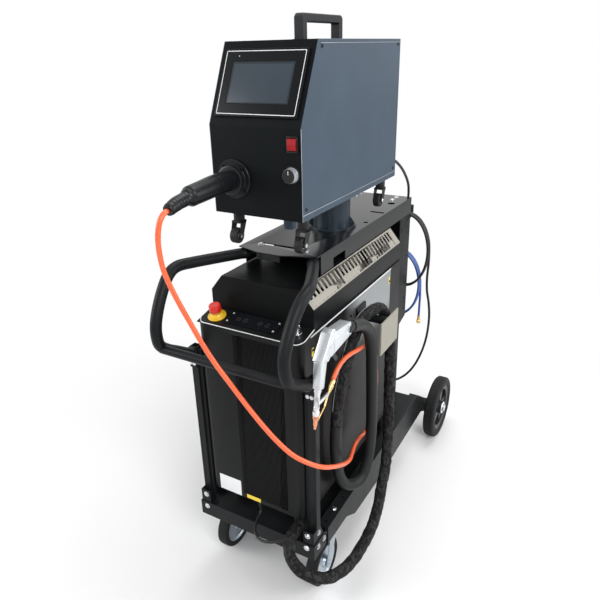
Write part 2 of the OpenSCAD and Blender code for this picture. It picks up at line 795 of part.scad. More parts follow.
module hood() {
    w = unit_w / 2 - hood_in;
    band = hood_top - chamfer_h;
    t = unit_t;
    color([0.62, 0.60, 0.56]) difference() {
        translate([0, unit_rear, 0]) rotate([90, 0, 0]) linear_extrude(unit_rear - hood_front)
            polygon([[-w, unit_top], [w, unit_top], [w, band], [w - chamfer_w, hood_top],
                [chamfer_w - w, hood_top], [-w, band]]);
        translate([0, unit_rear - t, 0]) rotate([90, 0, 0])
            linear_extrude(unit_rear - hood_front - 2 * t)
            polygon([[t - w, unit_top - over], [w - t, unit_top - over], [w - t, band - t / 2],
                [w - chamfer_w - t / 2, hood_top - t], [chamfer_w + t / 2 - w, hood_top - t],
                [t - w, band - t / 2]]);
        both_sides() for (i = [0:louvre_n - 1])
            translate([0, hood_front + 14 + i * louvre_pitch, 0])
                block(w - chamfer_w + 3, w + over, 0, louvre_pitch / 2, band + 3, hood_top - 4);
    }
}

module side_panels() {
    w = unit_w / 2;
    color([0.30, 0.31, 0.32]) both_sides()
        side_plate([[panel_front, unit_z], [panel_rear, unit_z], [panel_rear, unit_top - unit_t],
            [hood_front, unit_top - unit_t], [hood_front, unit_top - 30], [panel_front, unit_top - 30]],
            w - panel_t, panel_t);
}

module cable_glands() {
    color([0.10, 0.10, 0.10]) {
        block(outlet_x - 20, outlet_x + 19, outlet_y, outlet_y + 50, outlet_z - 19, unit_z);
        pin_z(9, 0, gland_y, unit_z - 6, unit_z);
        translate([0, gland_y, unit_z - 18]) cylinder(r = 8, h = 12 + over, $fn = hex_fn);
        pin_z(6, 0, gland_y, gland_z, unit_z - 17);
    }
}

module laser_module() {
    z0 = unit_z + floor_t;
    color([0.45, 0.46, 0.48]) {
        block(-source_w / 2 + source_x, source_w / 2 + source_x, unit_front + 90,
            unit_front + 90 + source_l, z0, z0 + source_h);
        for (i = [0:fin_n - 1])
            block(-source_w / 2 + source_x + 10, source_w / 2 + source_x - 10,
                unit_front + 100 + i * fin_pitch, unit_front + 106 + i * fin_pitch,
                z0 + source_h - over, z0 + source_h + 40);
    }
}

module power_supply() {
    z0 = unit_z + floor_t;
    color([0.62, 0.63, 0.64]) {
        block(supply_x - supply_w / 2, supply_x + supply_w / 2, unit_front + 90,
            unit_front + 90 + supply_l, z0, z0 + supply_h);
        block(supply_x - supply_w / 2 + 14, supply_x + supply_w / 2 - 14, unit_front + 120,
            unit_front + 240, z0 + supply_h - over, z0 + supply_h + 30);
    }
}

module estop_base() {
    color([0.93, 0.75, 0.10]) on_console() translate([estop_x, estop_s, 0]) difference() {
        union() {
            pin_z(collar_r, 0, 0, 0, collar_h);
            pin_z(collar_bore - move_gap, 0, 0, -28, over);
        }
        pin_z(stem_r + run_gap, 0, 0, -28 - over, collar_h + over);
    }
}

module estop_cap() {
    z0 = collar_h + estop_travel + 2;
    color([0.80, 0.08, 0.07]) on_console() translate([estop_x, estop_s, 0]) {
        pin_z(stem_r, 0, 0, -14, z0 + over);
        translate([0, 0, z0]) rotate_extrude() polygon([[0, 0], [estop_r - 5, 0], [estop_r, 5],
            [estop_r, 13], [estop_r - 3, 17], [estop_r - 8, 19], [0, 19]]);
    }
}

module key_switch() {
    color(steel_col) on_console() translate([key_x, key_s, 0]) difference() {
        union() {
            pin_z(key_r + 4, 0, 0, 0, 7);
            pin_z(key_hole_r - move_gap, 0, 0, -24, over);
        }
        pin_z(key_core_r + run_gap, 0, 0, -12, 7 + over);
    }
}

module key() {
    color(steel_col) on_console() translate([key_x, key_s, 0]) {
        pin_z(key_core_r, 0, 0, -12 + move_gap, 7.5);
        block(-4, 4, -1, 1, 7, 16);
        translate([0, 1, 24]) rotate([90, 0, 0]) cylinder(r = 11, h = 2);
    }
}

module fan_rotor() {
    color([0.10, 0.10, 0.11]) translate([0, 0, fan_z]) difference() {
        union() {
            rod_y(16, fan_y - 20, fan_y - 2);
            for (i = [0:blade_n - 1]) rotate([0, i * 360 / blade_n, 0])
                translate([0, fan_y - 11, 0]) rotate([0, 0, 28])
                block(-14, 14, -1, 1, 12, fan_r - 2);
        }
        rod_y(fan_pin_r + run_gap, fan_y - 21, fan_y);
    }
}

// ---- Wheels ----

module spin_at(x, y, z) {
    translate([x, y, z]) rotate([0, 90, 0]) children();
}

module tyre_at(x) {
    h = wheel_w / 2;
    color(rubber_col) spin_at(x, axle_y, axle_z) rotate_extrude($fn = 64)
        polygon([[rim_r, -h + 3], [wheel_r - 10, -h], [wheel_r - 2, -h + 8], [wheel_r, -h + 14],
            [wheel_r, h - 14], [wheel_r - 2, h - 8], [wheel_r - 10, h], [rim_r, h - 3]]);
}

module hub_at(x) {
    h = wheel_w / 2;
    color(steel_col) spin_at(x, axle_y, axle_z) difference() {
        union() {
            rotate_extrude($fn = 64) polygon([[rim_r - 14, -h + 8], [rim_r, -h + 4], [rim_r, h - 4],
                [rim_r - 14, h - 8]]);
            pin_z(hub_r, 0, 0, -h, h);
            for (i = [0:spoke_n - 1]) rotate([0, 0, i * 360 / spoke_n + 18])
                block(hub_r - 4, rim_r - 8, -11, 11, -9, 9);
        }
        pin_z(axle_r + run_gap, 0, 0, -h - over, h + over);
    }
}

module left_tyre() {
    tyre_at(-wheel_x);
}

module right_tyre() {
    tyre_at(wheel_x);
}

module left_hub() {
    hub_at(-wheel_x);
}

module right_hub() {
    hub_at(wheel_x);
}

module caster_fork(x) {
    z1 = deck_top - sheet_t - caster_plate_t - race_h - move_gap;
    half = caster_w / 2 + fork_gap;
    wy = caster_y - caster_trail;
    color([0.55, 0.58, 0.62]) difference() {
        union() {
            pin_z(race_r, x, caster_y, z1 - crown_h / 2, z1);
            block(x - half - fork_t, x + half + fork_t, caster_y - 21, caster_y + 21, z1 - crown_h,
                z1 - crown_h / 2 + over);
            for (s = [-1, 1])
                side_plate([[caster_y - 21, z1 - 8], [caster_y + 21, z1 - 8], [wy + 15, caster_r - 8],
                    [wy + 8, caster_r - 16], [wy - 8, caster_r - 16], [wy - 15, caster_r - 6]],
                    x - fork_t / 2 + s * (half + fork_t / 2), fork_t);
            translate([0, wy, caster_r]) rod_x(kingpin_r, x - half - fork_t - 4, x + half + fork_t + 4);
        }
        pin_z(kingpin_r + run_gap, x, caster_y, z1 - crown_h - over, z1 + over);
    }
}

module caster_wheel(x) {
    wy = caster_y - caster_trail;
    h = caster_w / 2;
    color(rubber_col) spin_at(x, wy, caster_r) difference() {
        rotate_extrude($fn = 64) polygon([[0, -h - 2], [18, -h - 2], [20, -h + 8], [caster_r - 18, -h + 8],
            [caster_r - 16, -h + 1], [caster_r - 4, -h + 1], [caster_r, -h + 8], [caster_r, h - 8],
            [caster_r - 4, h - 1], [caster_r - 16, h - 1], [caster_r - 18, h - 8], [20, h - 8],
            [18, h + 2], [0, h + 2]]);
        pin_z(kingpin_r + run_gap, 0, 0, -h - 3, h + 3);
    }
}

module left_caster_fork() {
    caster_fork(-caster_x);
}

module right_caster_fork() {
    caster_fork(caster_x);
}

module left_caster_wheel() {
    caster_wheel(-caster_x);
}

module right_caster_wheel() {
    caster_wheel(caster_x);
}

// ---- Wire feeder ----

feeder_side = [[feeder_front_y, feeder_z], [feeder_rear_y, feeder_z], [feeder_rear_y, feeder_top],
    [feeder_front_y + bevel_back, feeder_top], [feeder_front_y, feeder_z + bevel_h]];

// Local frame on the feeder's sloping front: X across, -Y out of it, Z up its slope
module on_bevel() {
    translate([feeder_x, feeder_front_y, feeder_z + bevel_h])
        rotate([-atan2(bevel_back, feeder_h - bevel_h), 0, 0]) children();
}

module feeder_shell() {
    t = feeder_t;
    x0 = feeder_x - half_w + t;
    x1 = feeder_x + half_w - t;
    color(slate_paint) {
        difference() {
            union() {
                block(x0, x1, feeder_front_y + t, feeder_rear_y, feeder_z, feeder_z + t);
                block(x0, x1, feeder_rear_y - t, feeder_rear_y, feeder_z, feeder_top);
                block(x0, x1, feeder_front_y + bevel_back + t + move_gap, feeder_rear_y, feeder_top - t,
                    feeder_top);
                side_plate([[feeder_front_y + bevel_back + 8, feeder_z], [feeder_rear_y - over, feeder_z],
                    [feeder_rear_y - over, feeder_top - over],
                    [feeder_front_y + bevel_back + 8, feeder_top - over]], bulk_x, t);
                pin_z(table_r, swivel_x, swivel_y, feeder_z - table_t, feeder_z + over);
                pin_z(8, swivel_x + 11, -300, feeder_z - 36, feeder_z + over);
                pin_z(16, swivel_x + 11, -300, feeder_z - 60, feeder_z - 36);
            }
            pin_z(pivot_r + run_gap, swivel_x, swivel_y, feeder_z - table_t - over, feeder_z + t + over);
            translate([0, roll_y, roll_z]) rod_x(motor_hole_r, bulk_x - over, bulk_x + t + over);
        }
        for (p = fcaster_at) {
            block(p[0] - 20, p[0] + 20, p[1] - 20, p[1] + 20, feeder_z - 3, feeder_z);
            pin_z(fcaster_post, p[0], p[1], feeder_z - 22, feeder_z - 2);
        }
        translate([0, spool_y, spool_z]) rod_x(spindle_r, feeder_x - half_w + 14, bulk_x + over);
        for (z = hinge_z) {
            pin_z(hinge_r, hinge_x, hinge_y, z - 16, z - 10);
            pin_z(hinge_r, hinge_x, hinge_y, z + 10, z + 16);
            pin_z(hinge_r / 2, hinge_x, hinge_y, z - 11, z + 11);
            for (s = [z - 16, z + 10])
                block(hinge_x + t, hinge_x + t + 3, feeder_rear_y - over, hinge_y + 2, s, s + 6);
        }
    }
}

module feeder_front() {
    t = feeder_t;
    w = half_w - t;
    y0 = feeder_front_y;
    zb = feeder_z + bevel_h;
    lean = bevel_back / (feeder_h - bevel_h);
    ts = t * sqrt(1 + lean * lean);
    color([0.07, 0.07, 0.08]) {
        difference() {
            union() {
                side_plate([[y0, feeder_z], [y0, zb], [y0 + bevel_back, feeder_top],
                    [y0 + bevel_back + ts, feeder_top], [y0 + t, zb - (ts - t) / lean],
                    [y0 + t, feeder_z]], feeder_x - w, 2 * w);
                block(rocker_x - rocker_w / 2 - 2, rocker_x + rocker_w / 2 + 2, feeder_front_y - 3,
                    feeder_front_y + over, rocker_z - rocker_h / 2 - 3, rocker_z + rocker_h / 2 + 3);
            }
            block(rocker_x - rocker_w / 2 - move_gap, rocker_x + rocker_w / 2 + move_gap,
                feeder_front_y - 4, feeder_front_y + t + over, rocker_z - rocker_h / 2 - move_gap,
                rocker_z + rocker_h / 2 + move_gap);
            translate([knob_x, 0, knob_z])
                rod_y(knob_shaft + run_gap, feeder_front_y - over, feeder_front_y + t + over);
        }
        translate([0, feeder_front_y + 0.5, rocker_z])
            rod_x(rocker_pin, rocker_x - rocker_w / 2 - 1, rocker_x + rocker_w / 2 + 1);
    }
}

module feeder_cover() {
    x0 = feeder_x + half_w - feeder_t;
    color(slate_paint) {
        side_plate(feeder_side, x0, feeder_t);
        block(x0 - 12, x0 + over / 2, feeder_front_y + 20, feeder_rear_y - 20, feeder_z + feeder_t,
            feeder_z + 2 * feeder_t);
    }
}

module feeder_door() {
    x0 = feeder_x - half_w;
    t = feeder_t;
    color(slate_paint) {
        difference() {
            union() {
                side_plate([[feeder_front_y, feeder_z], [feeder_rear_y - move_gap, feeder_z],
                    [feeder_rear_y - move_gap, feeder_top], [feeder_front_y + bevel_back, feeder_top],
                    [feeder_front_y, feeder_z + bevel_h]], x0, t - move_gap);
                for (z = hinge_z) {
                    block(x0, x0 + t - move_gap, feeder_rear_y - over, hinge_y, z - 9.7, z + 9.7);
                    pin_z(hinge_r, hinge_x, hinge_y, z - 9.7, z + 9.7);
                }
            }
            for (z = hinge_z)
                pin_z(hinge_r / 2 + run_gap, hinge_x, hinge_y, z - 12, z + 12);
        }
        block(x0 - 5, x0 + over / 2, feeder_front_y + 30, feeder_front_y + 54, spool_z - 30, spool_z);
    }
}

module hmi_panel() {
    color([0.04, 0.04, 0.05]) on_bevel() difference() {
        block(-hmi_w / 2, hmi_w / 2, -hmi_t, 0, hmi_up, hmi_up + hmi_h);
        block(-screen_w / 2, screen_w / 2, -hmi_t - over, 1 - hmi_t, hmi_up + 29, hmi_up + 29 + screen_h);
    }
}

module rocker() {
    color([0.78, 0.09, 0.08]) translate([rocker_x - rocker_w / 2, feeder_front_y + 0.5, rocker_z])
        rotate([0, 90, 0]) difference() {
            cylinder(r = rocker_h / 2 - 0.5, h = rocker_w);
            translate([-rocker_h, 3, -over]) cube([2 * rocker_h, rocker_h, rocker_w + 2 * over]);
            for (s = [-1, 1]) rotate([0, 0, s * 8])
                translate([-rocker_h, -rocker_h - 7.5, -over])
                    cube([2 * rocker_h, rocker_h, rocker_w + 2 * over]);
            translate([0, 0, -over]) cylinder(r = rocker_pin + run_gap, h = rocker_w + 2 * over);
        }
}

module speed_knob() {
    y = feeder_front_y - move_gap;
    color([0.09, 0.09, 0.10]) translate([knob_x, 0, knob_z]) difference() {
        union() {
            rod_y(knob_r, y - 18, y);
            rod_y(knob_shaft, y - over, feeder_front_y + 16);
        }
        block(-1, 1, y - 19, y - 17, 3, knob_r + over);
    }
}

module hose_socket() {
    y = feeder_front_y;
    color([0.10, 0.10, 0.11]) translate([socket_x, 0, socket_z]) {
        rod_y(socket_r - 4, y - socket_t, y);
        rod_y(34, y - 22, y - socket_t + over);
        for (a = [45:90:315]) rotate([0, a, 0]) translate([socket_r - 11, y - socket_t + over, 0])
            rotate([90, 0, 0]) cylinder(r = 4.5, h = 5, $fn = hex_fn);
    }
}

module hose_sleeve() {
    color([0.08, 0.08, 0.09]) swept(sleeve_route, sleeve_d, 12);
}

module feeder_handle() {
    y0 = grip_y;
    x0 = feeder_x - grip_w / 2;
    x1 = feeder_x + grip_w / 2;
    y1 = y0 + grip_l;
    color([0.12, 0.13, 0.14]) {
        side_plate([[y0 - 11, feeder_top], [y0 + 11, feeder_top], [y0 + 11, feeder_top + grip_h - grip_t],
            [y1 - 11, feeder_top + grip_h - grip_t], [y1 - 11, feeder_top], [y1 + 11, feeder_top],
            [y1 + 11, feeder_top + grip_h - 8], [y1 + 3, feeder_top + grip_h],
            [y0 - 3, feeder_top + grip_h], [y0 - 11, feeder_top + grip_h - 8]], x0, x1 - x0);
    }
}

module feeder_screws() {
    x = feeder_x + half_w;
    color(steel_col) for (p = [[-330, feeder_top - 14], [-100, feeder_top - 14], [126, feeder_top - 14],
        [-412, feeder_z + 120], [-412, feeder_z + 14], [-120, feeder_z + 14], [126, feeder_z + 14]])
        translate([0, p[0], p[1]]) rod_x(4.5, x, x + 2.2);
}

module wire_spool() {
    x0 = bulk_x - 8 - spool_w;
    color([0.72, 0.42, 0.22]) translate([0, spool_y, spool_z]) difference() {
        union() {
            rod_x(spool_r, x0, x0 + 4);
            rod_x(spool_r, x0 + spool_w - 4, x0 + spool_w);
            rod_x(spool_r - 22, x0 + 3, x0 + spool_w - 3);
        }
        rod_x(spindle_r + run_gap, x0 - over, x0 + spool_w + over);
    }
}

module feed_motor() {
    color([0.30, 0.31, 0.33]) {
        translate([0, roll_y, roll_z]) {
            rod_x(30, bulk_x + feeder_t, bulk_x + 84);
            rod_x(motor_hole_r - move_gap, bulk_x - 6, bulk_x + feeder_t + over);
            rod_x(roll_shaft, bulk_x - 34, bulk_x);
        }
        translate([0, roll_y + arm_back, roll_z + arm_up]) rod_x(roll_shaft, bulk_x - 34, bulk_x);
        block(bulk_x - 6, bulk_x, roll_y - 20, roll_y + 60, roll_z + 28, roll_z + 62);
    }
}

module drive_roll() {
    x0 = bulk_x - 26;
    color([0.66, 0.55, 0.30]) translate([0, roll_y, roll_z]) difference() {
        union() {
            rod_x(roll_r, x0, x0 + 5);
            rod_x(roll_r - 1.5, x0 + 5 - over, x0 + 8 + over);
            rod_x(roll_r, x0 + 8, x0 + 14);
        }
        rod_x(roll_shaft + run_gap, x0 - over, x0 + 14 + over);
    }
}

module pressure_arm() {
    x0 = bulk_x - 28;
    color([0.55, 0.56, 0.58]) translate([x0, roll_y + arm_back, roll_z + arm_up]) rotate([90, 0, 90])
        difference() {
            union() {
                cylinder(r = 9, h = 14);
                translate([-arm_back - 26, -6, 0]) cube([arm_back + 26, 12, 14]);
                translate([-arm_back, roll_r - arm_up + roll_r + 0.5, 0]) cylinder(r = roll_r, h = 14);
            }
            translate([0, 0, -over]) cylinder(r = roll_shaft + run_gap, h = 14 + 2 * over);
        }
}

module feeder_caster(x, y) {
    wz = feeder_z - 66;
    wy = y - fcaster_trail;
    half = fcaster_w + 2;
    color([0.42, 0.43, 0.45]) difference() {
        union() {
            pin_z(14, x, y, feeder_z - 30, feeder_z - 3 - move_gap);
            block(x - half - 2, x + half + 2, y - 14, y + 12, feeder_z - 36, feeder_z - 29);
            for (s = [-half - 2, half])
                side_plate([[y - 14, feeder_z - 30], [y + 12, feeder_z - 30], [wy + 8, wz - 5],
                    [wy - 8, wz - 5]], x + s, 2);
        }
        pin_z(fcaster_post + run_gap, x, y, feeder_z - 22 - move_gap, feeder_z);
    }
    color(rubber_col) translate([0, wy, wz]) {
        rod_x(fcaster_r, x - fcaster_w, x + fcaster_w);
        rod_x(4, x - half - 2.5, x + half + 2.5);
    }
}

module feeder_caster_1() {
    feeder_caster(fcaster_at[0][0], fcaster_at[0][1]);
}

module feeder_caster_2() {
    feeder_caster(fcaster_at[1][0], fcaster_at[1][1]);
}

module feeder_caster_3() {
    feeder_caster(fcaster_at[2][0], fcaster_at[2][1]);
}

module feeder_caster_4() {
    feeder_caster(fcaster_at[3][0], fcaster_at[3][1]);
}

// ---- Torch and cords ----

module torch_body() {
    color([0.55, 0.56, 0.57]) difference() {
        union() {
            swept(torch_route, torch_d, 16);
            side_plate(grip_side, torch_x - grip_half, 2 * grip_half);
            side_plate(head_side, torch_x - head_half, 2 * head_half);
            side_plate(muzzle_side, torch_x - muzzle_half, 2 * muzzle_half);
        }
        block(torch_x - 3.6, torch_x + 3.6, trigger_y - 8, trigger_y + 78, trigger_z - 32, trigger_z + 12);
    }
    color(steel_col) {
        translate([0, trigger_y, trigger_z]) rod_x(trigger_pin, torch_x - 5, torch_x + 5);
        bar(7, neck_end, [torch_x, -528, 714]);
        bar(9, [torch_x, -528, 718], [torch_x, -529, 704]);
    }
}

module torch_trigger() {
    color([0.10, 0.10, 0.11]) translate([torch_x - 3, 0, 0]) difference() {
        side_plate([for (p = [[-5, 3], [3, 6], [14, 0], [34, -26], [58, -52], [56, -60], [46, -60],
            [26, -34], [4, -9], [-5, -6]]) [trigger_y + p[0], trigger_z + p[1]]], 0, 6);
        translate([0, trigger_y, trigger_z]) rod_x(trigger_pin + run_gap, -over, 6 + over);
    }
}

module torch_nozzle() {
    color([0.72, 0.42, 0.26]) {
        bar(7.5, [torch_x, -529, 704], [torch_x, -529.86, 692]);
        bar(5.5, [torch_x, -529.8, 692.5], [torch_x, -533.6, 678]);
        bar(3.5, [torch_x, -534, 678.5], [torch_x, -536, 668]);
    }
    color([0.78, 0.62, 0.30]) {
        bar(7, [torch_x, -439, 752], [torch_x, -466, 728]);
        bar(2.5, [torch_x, -465, 729], [torch_x, -484, 703]);
        bar(2, [torch_x, -484, 703.5], [torch_x, -521, 684]);
        block(torch_x - 3, torch_x + 3, -517.6, -462, 725, 733);
    }
}

module umbilical_hose() {
    color(rubber_col) swept(hose_route, hose_d, 12);
}

module orange_liner() {
    color([0.92, 0.36, 0.18]) swept(concat(liner_route, liner_tail), liner_d, 8);
}

module feeder_lead() {
    color(rubber_col) swept(lead_path, lead_d, 6);
}

module blue_hose() {
    tip = blue_path[len(blue_path) - 1];
    color([0.14, 0.38, 0.72]) swept(blue_path, blue_d, 6);
    color([0.78, 0.62, 0.30]) {
        pin_z(blue_d / 2 + 1.5, tip[0], tip[1], tip[2] - 8, tip[2] + 10);
        translate([tip[0], tip[1], tip[2] - 20]) cylinder(r = blue_d / 2 + 4, h = 12.5, $fn = hex_fn);
    }
}

module signal_cable() {
    color(rubber_col) swept(signal_route, signal_d, 8);
}

base_pan();
chassis_frame();
axle();
front_posts();
rear_column();
top_plate();
handle_frame();
caster_plates();
trolley_bolts();
pedestal();
hose_hanger();
unit_case();
front_panel();
console_panel();
display_panel();
hood();
side_panels();
cable_glands();
laser_module();
power_supply();
estop_base();
key_switch();
left_tyre();
left_hub();
right_tyre();
right_hub();
left_caster_fork();
left_caster_wheel();
right_caster_fork();
right_caster_wheel();
estop_cap();
key();
fan_rotor();
feeder_shell();
feeder_front();
feeder_cover();
feeder_door();
hmi_panel();
rocker();
speed_knob();
hose_socket();
hose_sleeve();
feeder_handle();
feeder_screws();
wire_spool();
feed_motor();
drive_roll();
pressure_arm();
feeder_caster_1();
feeder_caster_2();
feeder_caster_3();
feeder_caster_4();
torch_body();
torch_trigger();
torch_nozzle();
umbilical_hose();
orange_liner();
feeder_lead();
blue_hose();
signal_cable();
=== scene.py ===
import bpy, bmesh, json, math
from mathutils import Vector, Matrix, noise


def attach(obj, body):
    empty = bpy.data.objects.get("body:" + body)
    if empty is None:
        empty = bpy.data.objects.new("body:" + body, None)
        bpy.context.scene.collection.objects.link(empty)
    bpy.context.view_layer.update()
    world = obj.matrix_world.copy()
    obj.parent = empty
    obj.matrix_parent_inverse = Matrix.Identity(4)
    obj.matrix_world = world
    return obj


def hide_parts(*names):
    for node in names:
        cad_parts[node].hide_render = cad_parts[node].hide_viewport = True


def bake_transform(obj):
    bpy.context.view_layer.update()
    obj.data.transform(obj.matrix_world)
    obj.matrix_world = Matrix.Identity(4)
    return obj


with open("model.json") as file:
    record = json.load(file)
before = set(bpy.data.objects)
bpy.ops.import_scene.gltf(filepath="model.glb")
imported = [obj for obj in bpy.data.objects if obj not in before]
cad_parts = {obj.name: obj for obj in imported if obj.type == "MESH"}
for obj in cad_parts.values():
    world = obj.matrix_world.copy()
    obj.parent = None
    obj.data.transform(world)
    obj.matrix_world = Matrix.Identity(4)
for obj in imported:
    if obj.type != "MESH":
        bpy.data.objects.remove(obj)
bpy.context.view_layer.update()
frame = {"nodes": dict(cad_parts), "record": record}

# ---- View of the machine ----
# The photograph was taken from the front right, a little above the wire feeder,
# with the camera tipped down and turned very slightly about its own line of sight.
camera_place = (0.765, -1.530, 1.500)
focal_mm, sensor_mm, far_clip = 34.61, 36.0, 60
turn, tip, lean = math.radians(30.05), math.radians(23.62), math.radians(-1.36)


def in_scene(name, data):
    """A new object in the scene that carries the given camera, lamp or mesh."""
    obj = bpy.data.objects.new(name, data)
    bpy.context.scene.collection.objects.link(obj)
    return obj


ahead = Vector((-math.sin(turn) * math.cos(tip), math.cos(turn) * math.cos(tip), -math.sin(tip)))
level = Vector((math.cos(turn), math.sin(turn), 0))
overhead = level.cross(ahead)
right = level * math.cos(lean) + overhead * math.sin(lean)
upward = overhead * math.cos(lean) - level * math.sin(lean)
lens = bpy.data.cameras.new("photo_camera")
lens.lens, lens.sensor_width, lens.clip_end = focal_mm, sensor_mm, far_clip
camera = in_scene("photo_camera", lens)
camera.matrix_world = Matrix.Translation(camera_place) @ Matrix(
    (right, upward, -ahead)).transposed().to_4x4()
bpy.context.scene.camera = camera

# ---- Umbilical hose ----
# It leaves a block under the laser unit in a wrinkled cloth sleeve with a sewn piping, climbs over
# the hanger arm, hangs in a loop and comes up again to the torch's tail as a smooth rubber hose.
hose_diameter, hose_sides, sleeve_radius = 0.034, 44, 0.0166
sleeve_end, piping_end, piping_radius, piping_turn = 1.62, 1.58, 0.0012, -0.4


def mm(points):
    return [Vector(p) / 1000 for p in points]


def smooth_route(points, step):
    """Points along a smooth curve through the given ones, about one step apart."""
    out = []
    for i in range(len(points) - 1):
        a, b = points[max(i - 1, 0)], points[i]
        c, d = points[i + 1], points[min(i + 2, len(points) - 1)]
        n = max(1, round((c - b).length / step))
        for k in range(n):
            t = k / n
            out.append(0.5 * (2 * b + (c - a) * t + (2 * a - 5 * b + 4 * c - d) * t * t
                              + (3 * b - a - 3 * c + d) * t ** 3))
    return out + [points[-1]]


def new_object(name, mesh, body, *materials):
    obj = in_scene(name, mesh)
    for m in materials:
        mesh.materials.append(m)
    if body:
        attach(obj, body)
    return obj


def mesh_of(bm, name, sharp=None):
    """Keeps a working mesh; given an angle, it is smooth except at edges bent past it."""
    if sharp:
        for f in bm.faces:
            f.smooth = True
    mesh = bpy.data.meshes.new(name)
    bm.to_mesh(mesh)
    bm.free()
    if sharp:
        mesh.set_sharp_from_angle(angle=math.radians(sharp))
    return mesh


def angles(n):
    return [2 * math.pi * k / n for k in range(n)]


def tube_mesh(name, line, radius, sides, shape=None):
    """A tube along a line, with its length and girth in metres as its UV map."""
    bm = bmesh.new()
    layer = bm.loops.layers.uv.new("along")
    side = None
    rings, run, runs = [], 0.0, []
    for i, p in enumerate(line):
        d = (line[min(i + 1, len(line) - 1)] - line[max(i - 1, 0)]).normalized()
        if side is None:
            side = d.cross(Vector((0, 0, 1)) if abs(d.z) < 0.9 else Vector((1, 0, 0)))
        side = (side - d * side.dot(d)).normalized()
        up = side.cross(d)
        if i:
            run += (p - line[i - 1]).length
        runs.append(run)
        r = radius(run) if callable(radius) else radius
        rings.append([bm.verts.new(p + (side * math.cos(a) + up * math.sin(a))
                                   * (r * (shape(run, a) if shape else 1)))
                      for a in angles(sides)])
    for i in range(len(rings) - 1):
        for k in range(sides):
            j = (k + 1) % sides
            f = bm.faces.new((rings[i][k], rings[i + 1][k], rings[i + 1][j], rings[i][j]))
            f.smooth = True
            for loop, (u, v) in zip(f.loops, ((k, i), (k, i + 1), (k + 1, i + 1), (k + 1, i))):
                loop[layer].uv = (u / sides, runs[v])
    bm.faces.new(rings[0])
    bm.faces.new(rings[-1][::-1])
    bmesh.ops.recalc_face_normals(bm, faces=bm.faces)
    return mesh_of(bm, name)


def link(tree, a, b):
    tree.links.new(a, b)


def shader(tree, kind, mode=None, **values):
    """A shader node with its mode and its plain values set."""
    node = tree.nodes.new("ShaderNode" + kind)
    if mode:
        setattr(node, "data_type" if kind == "Mix" else "operation", mode)
    for label, value in values.items():
        node.inputs[label.replace("_", " ")].default_value = value
    return node


def reckoned(tree, mode, a, b, clamp=False):
    """The result of a Math node on two sockets or plain numbers."""
    node = shader(tree, "Math", mode)
    node.use_clamp = clamp
    for socket, given in zip(node.inputs, (a, b)):
        if isinstance(given, (int, float)):
            socket.default_value = given
        else:
            link(tree, given, socket)
    return node.outputs[0]


def group_of(name, inputs, outputs):
    g = bpy.data.node_groups.new(name, "ShaderNodeTree")
    for kind, label, value in inputs:
        s = g.interface.new_socket(name=label, in_out="INPUT", socket_type=kind)
        s.default_value = value
    for kind, label in outputs:
        g.interface.new_socket(name=label, in_out="OUTPUT", socket_type=kind)
    return g, g.nodes.new("NodeGroupInput"), g.nodes.new("NodeGroupOutput")


def grain_group():
    """Fine orange peel, broad uneven tone and settled dust of a worked surface."""
    g, gin, gout = group_of("worked_surface", [
        ("NodeSocketColor", "Colour", (0.5, 0.5, 0.5, 1)), ("NodeSocketFloat", "Roughness", 0.5),
        ("NodeSocketFloat", "Grain per metre", 900.0), ("NodeSocketFloat", "Tone change", 0.12),
        ("NodeSocketFloat", "Dust", 0.1)],
        [("NodeSocketColor", "Colour"), ("NodeSocketFloat", "Roughness"),
         ("NodeSocketFloat", "Height")])
    at = shader(g, "TexCoord").outputs["Object"]
    fine = shader(g, "TexNoise", Detail=3)
    broad = shader(g, "TexNoise", Scale=7, Detail=5, Roughness=0.62)
    link(g, at, fine.inputs["Vector"])
    link(g, at, broad.inputs["Vector"])
    link(g, gin.outputs["Grain per metre"], fine.inputs["Scale"])
    tone = shader(g, "MapRange", From_Min=0.3, From_Max=0.7)
    change = gin.outputs["Tone change"]
    link(g, broad.outputs[0], tone.inputs["Value"])
    link(g, reckoned(g, "SUBTRACT", 1, change), tone.inputs["To Min"])
    link(g, reckoned(g, "ADD", 1, change), tone.inputs["To Max"])
    shade = shader(g, "VectorMath", "SCALE")
    link(g, gin.outputs["Colour"], shade.inputs[0])
    link(g, tone.outputs[0], shade.inputs["Scale"])
    split = shader(g, "SeparateXYZ")
    link(g, shader(g, "NewGeometry").outputs["Normal"], split.inputs[0])
    lying = reckoned(g, "MULTIPLY", split.outputs["Z"], gin.outputs["Dust"], True)
    settled = reckoned(g, "MULTIPLY", lying, broad.outputs[0], True)
    dusty = shader(g, "Mix", "RGBA", B=(0.42, 0.41, 0.39, 1))
    link(g, settled, dusty.inputs["Factor"])
    link(g, shade.outputs[0], dusty.inputs["A"])
    rough = reckoned(g, "MULTIPLY", gin.outputs["Roughness"], tone.outputs[0], True)
    link(g, dusty.outputs["Result"], gout.inputs["Colour"])
    link(g, rough, gout.inputs["Roughness"])
    link(g, fine.outputs[0], gout.inputs["Height"])
    return g


worked_surface = grain_group()


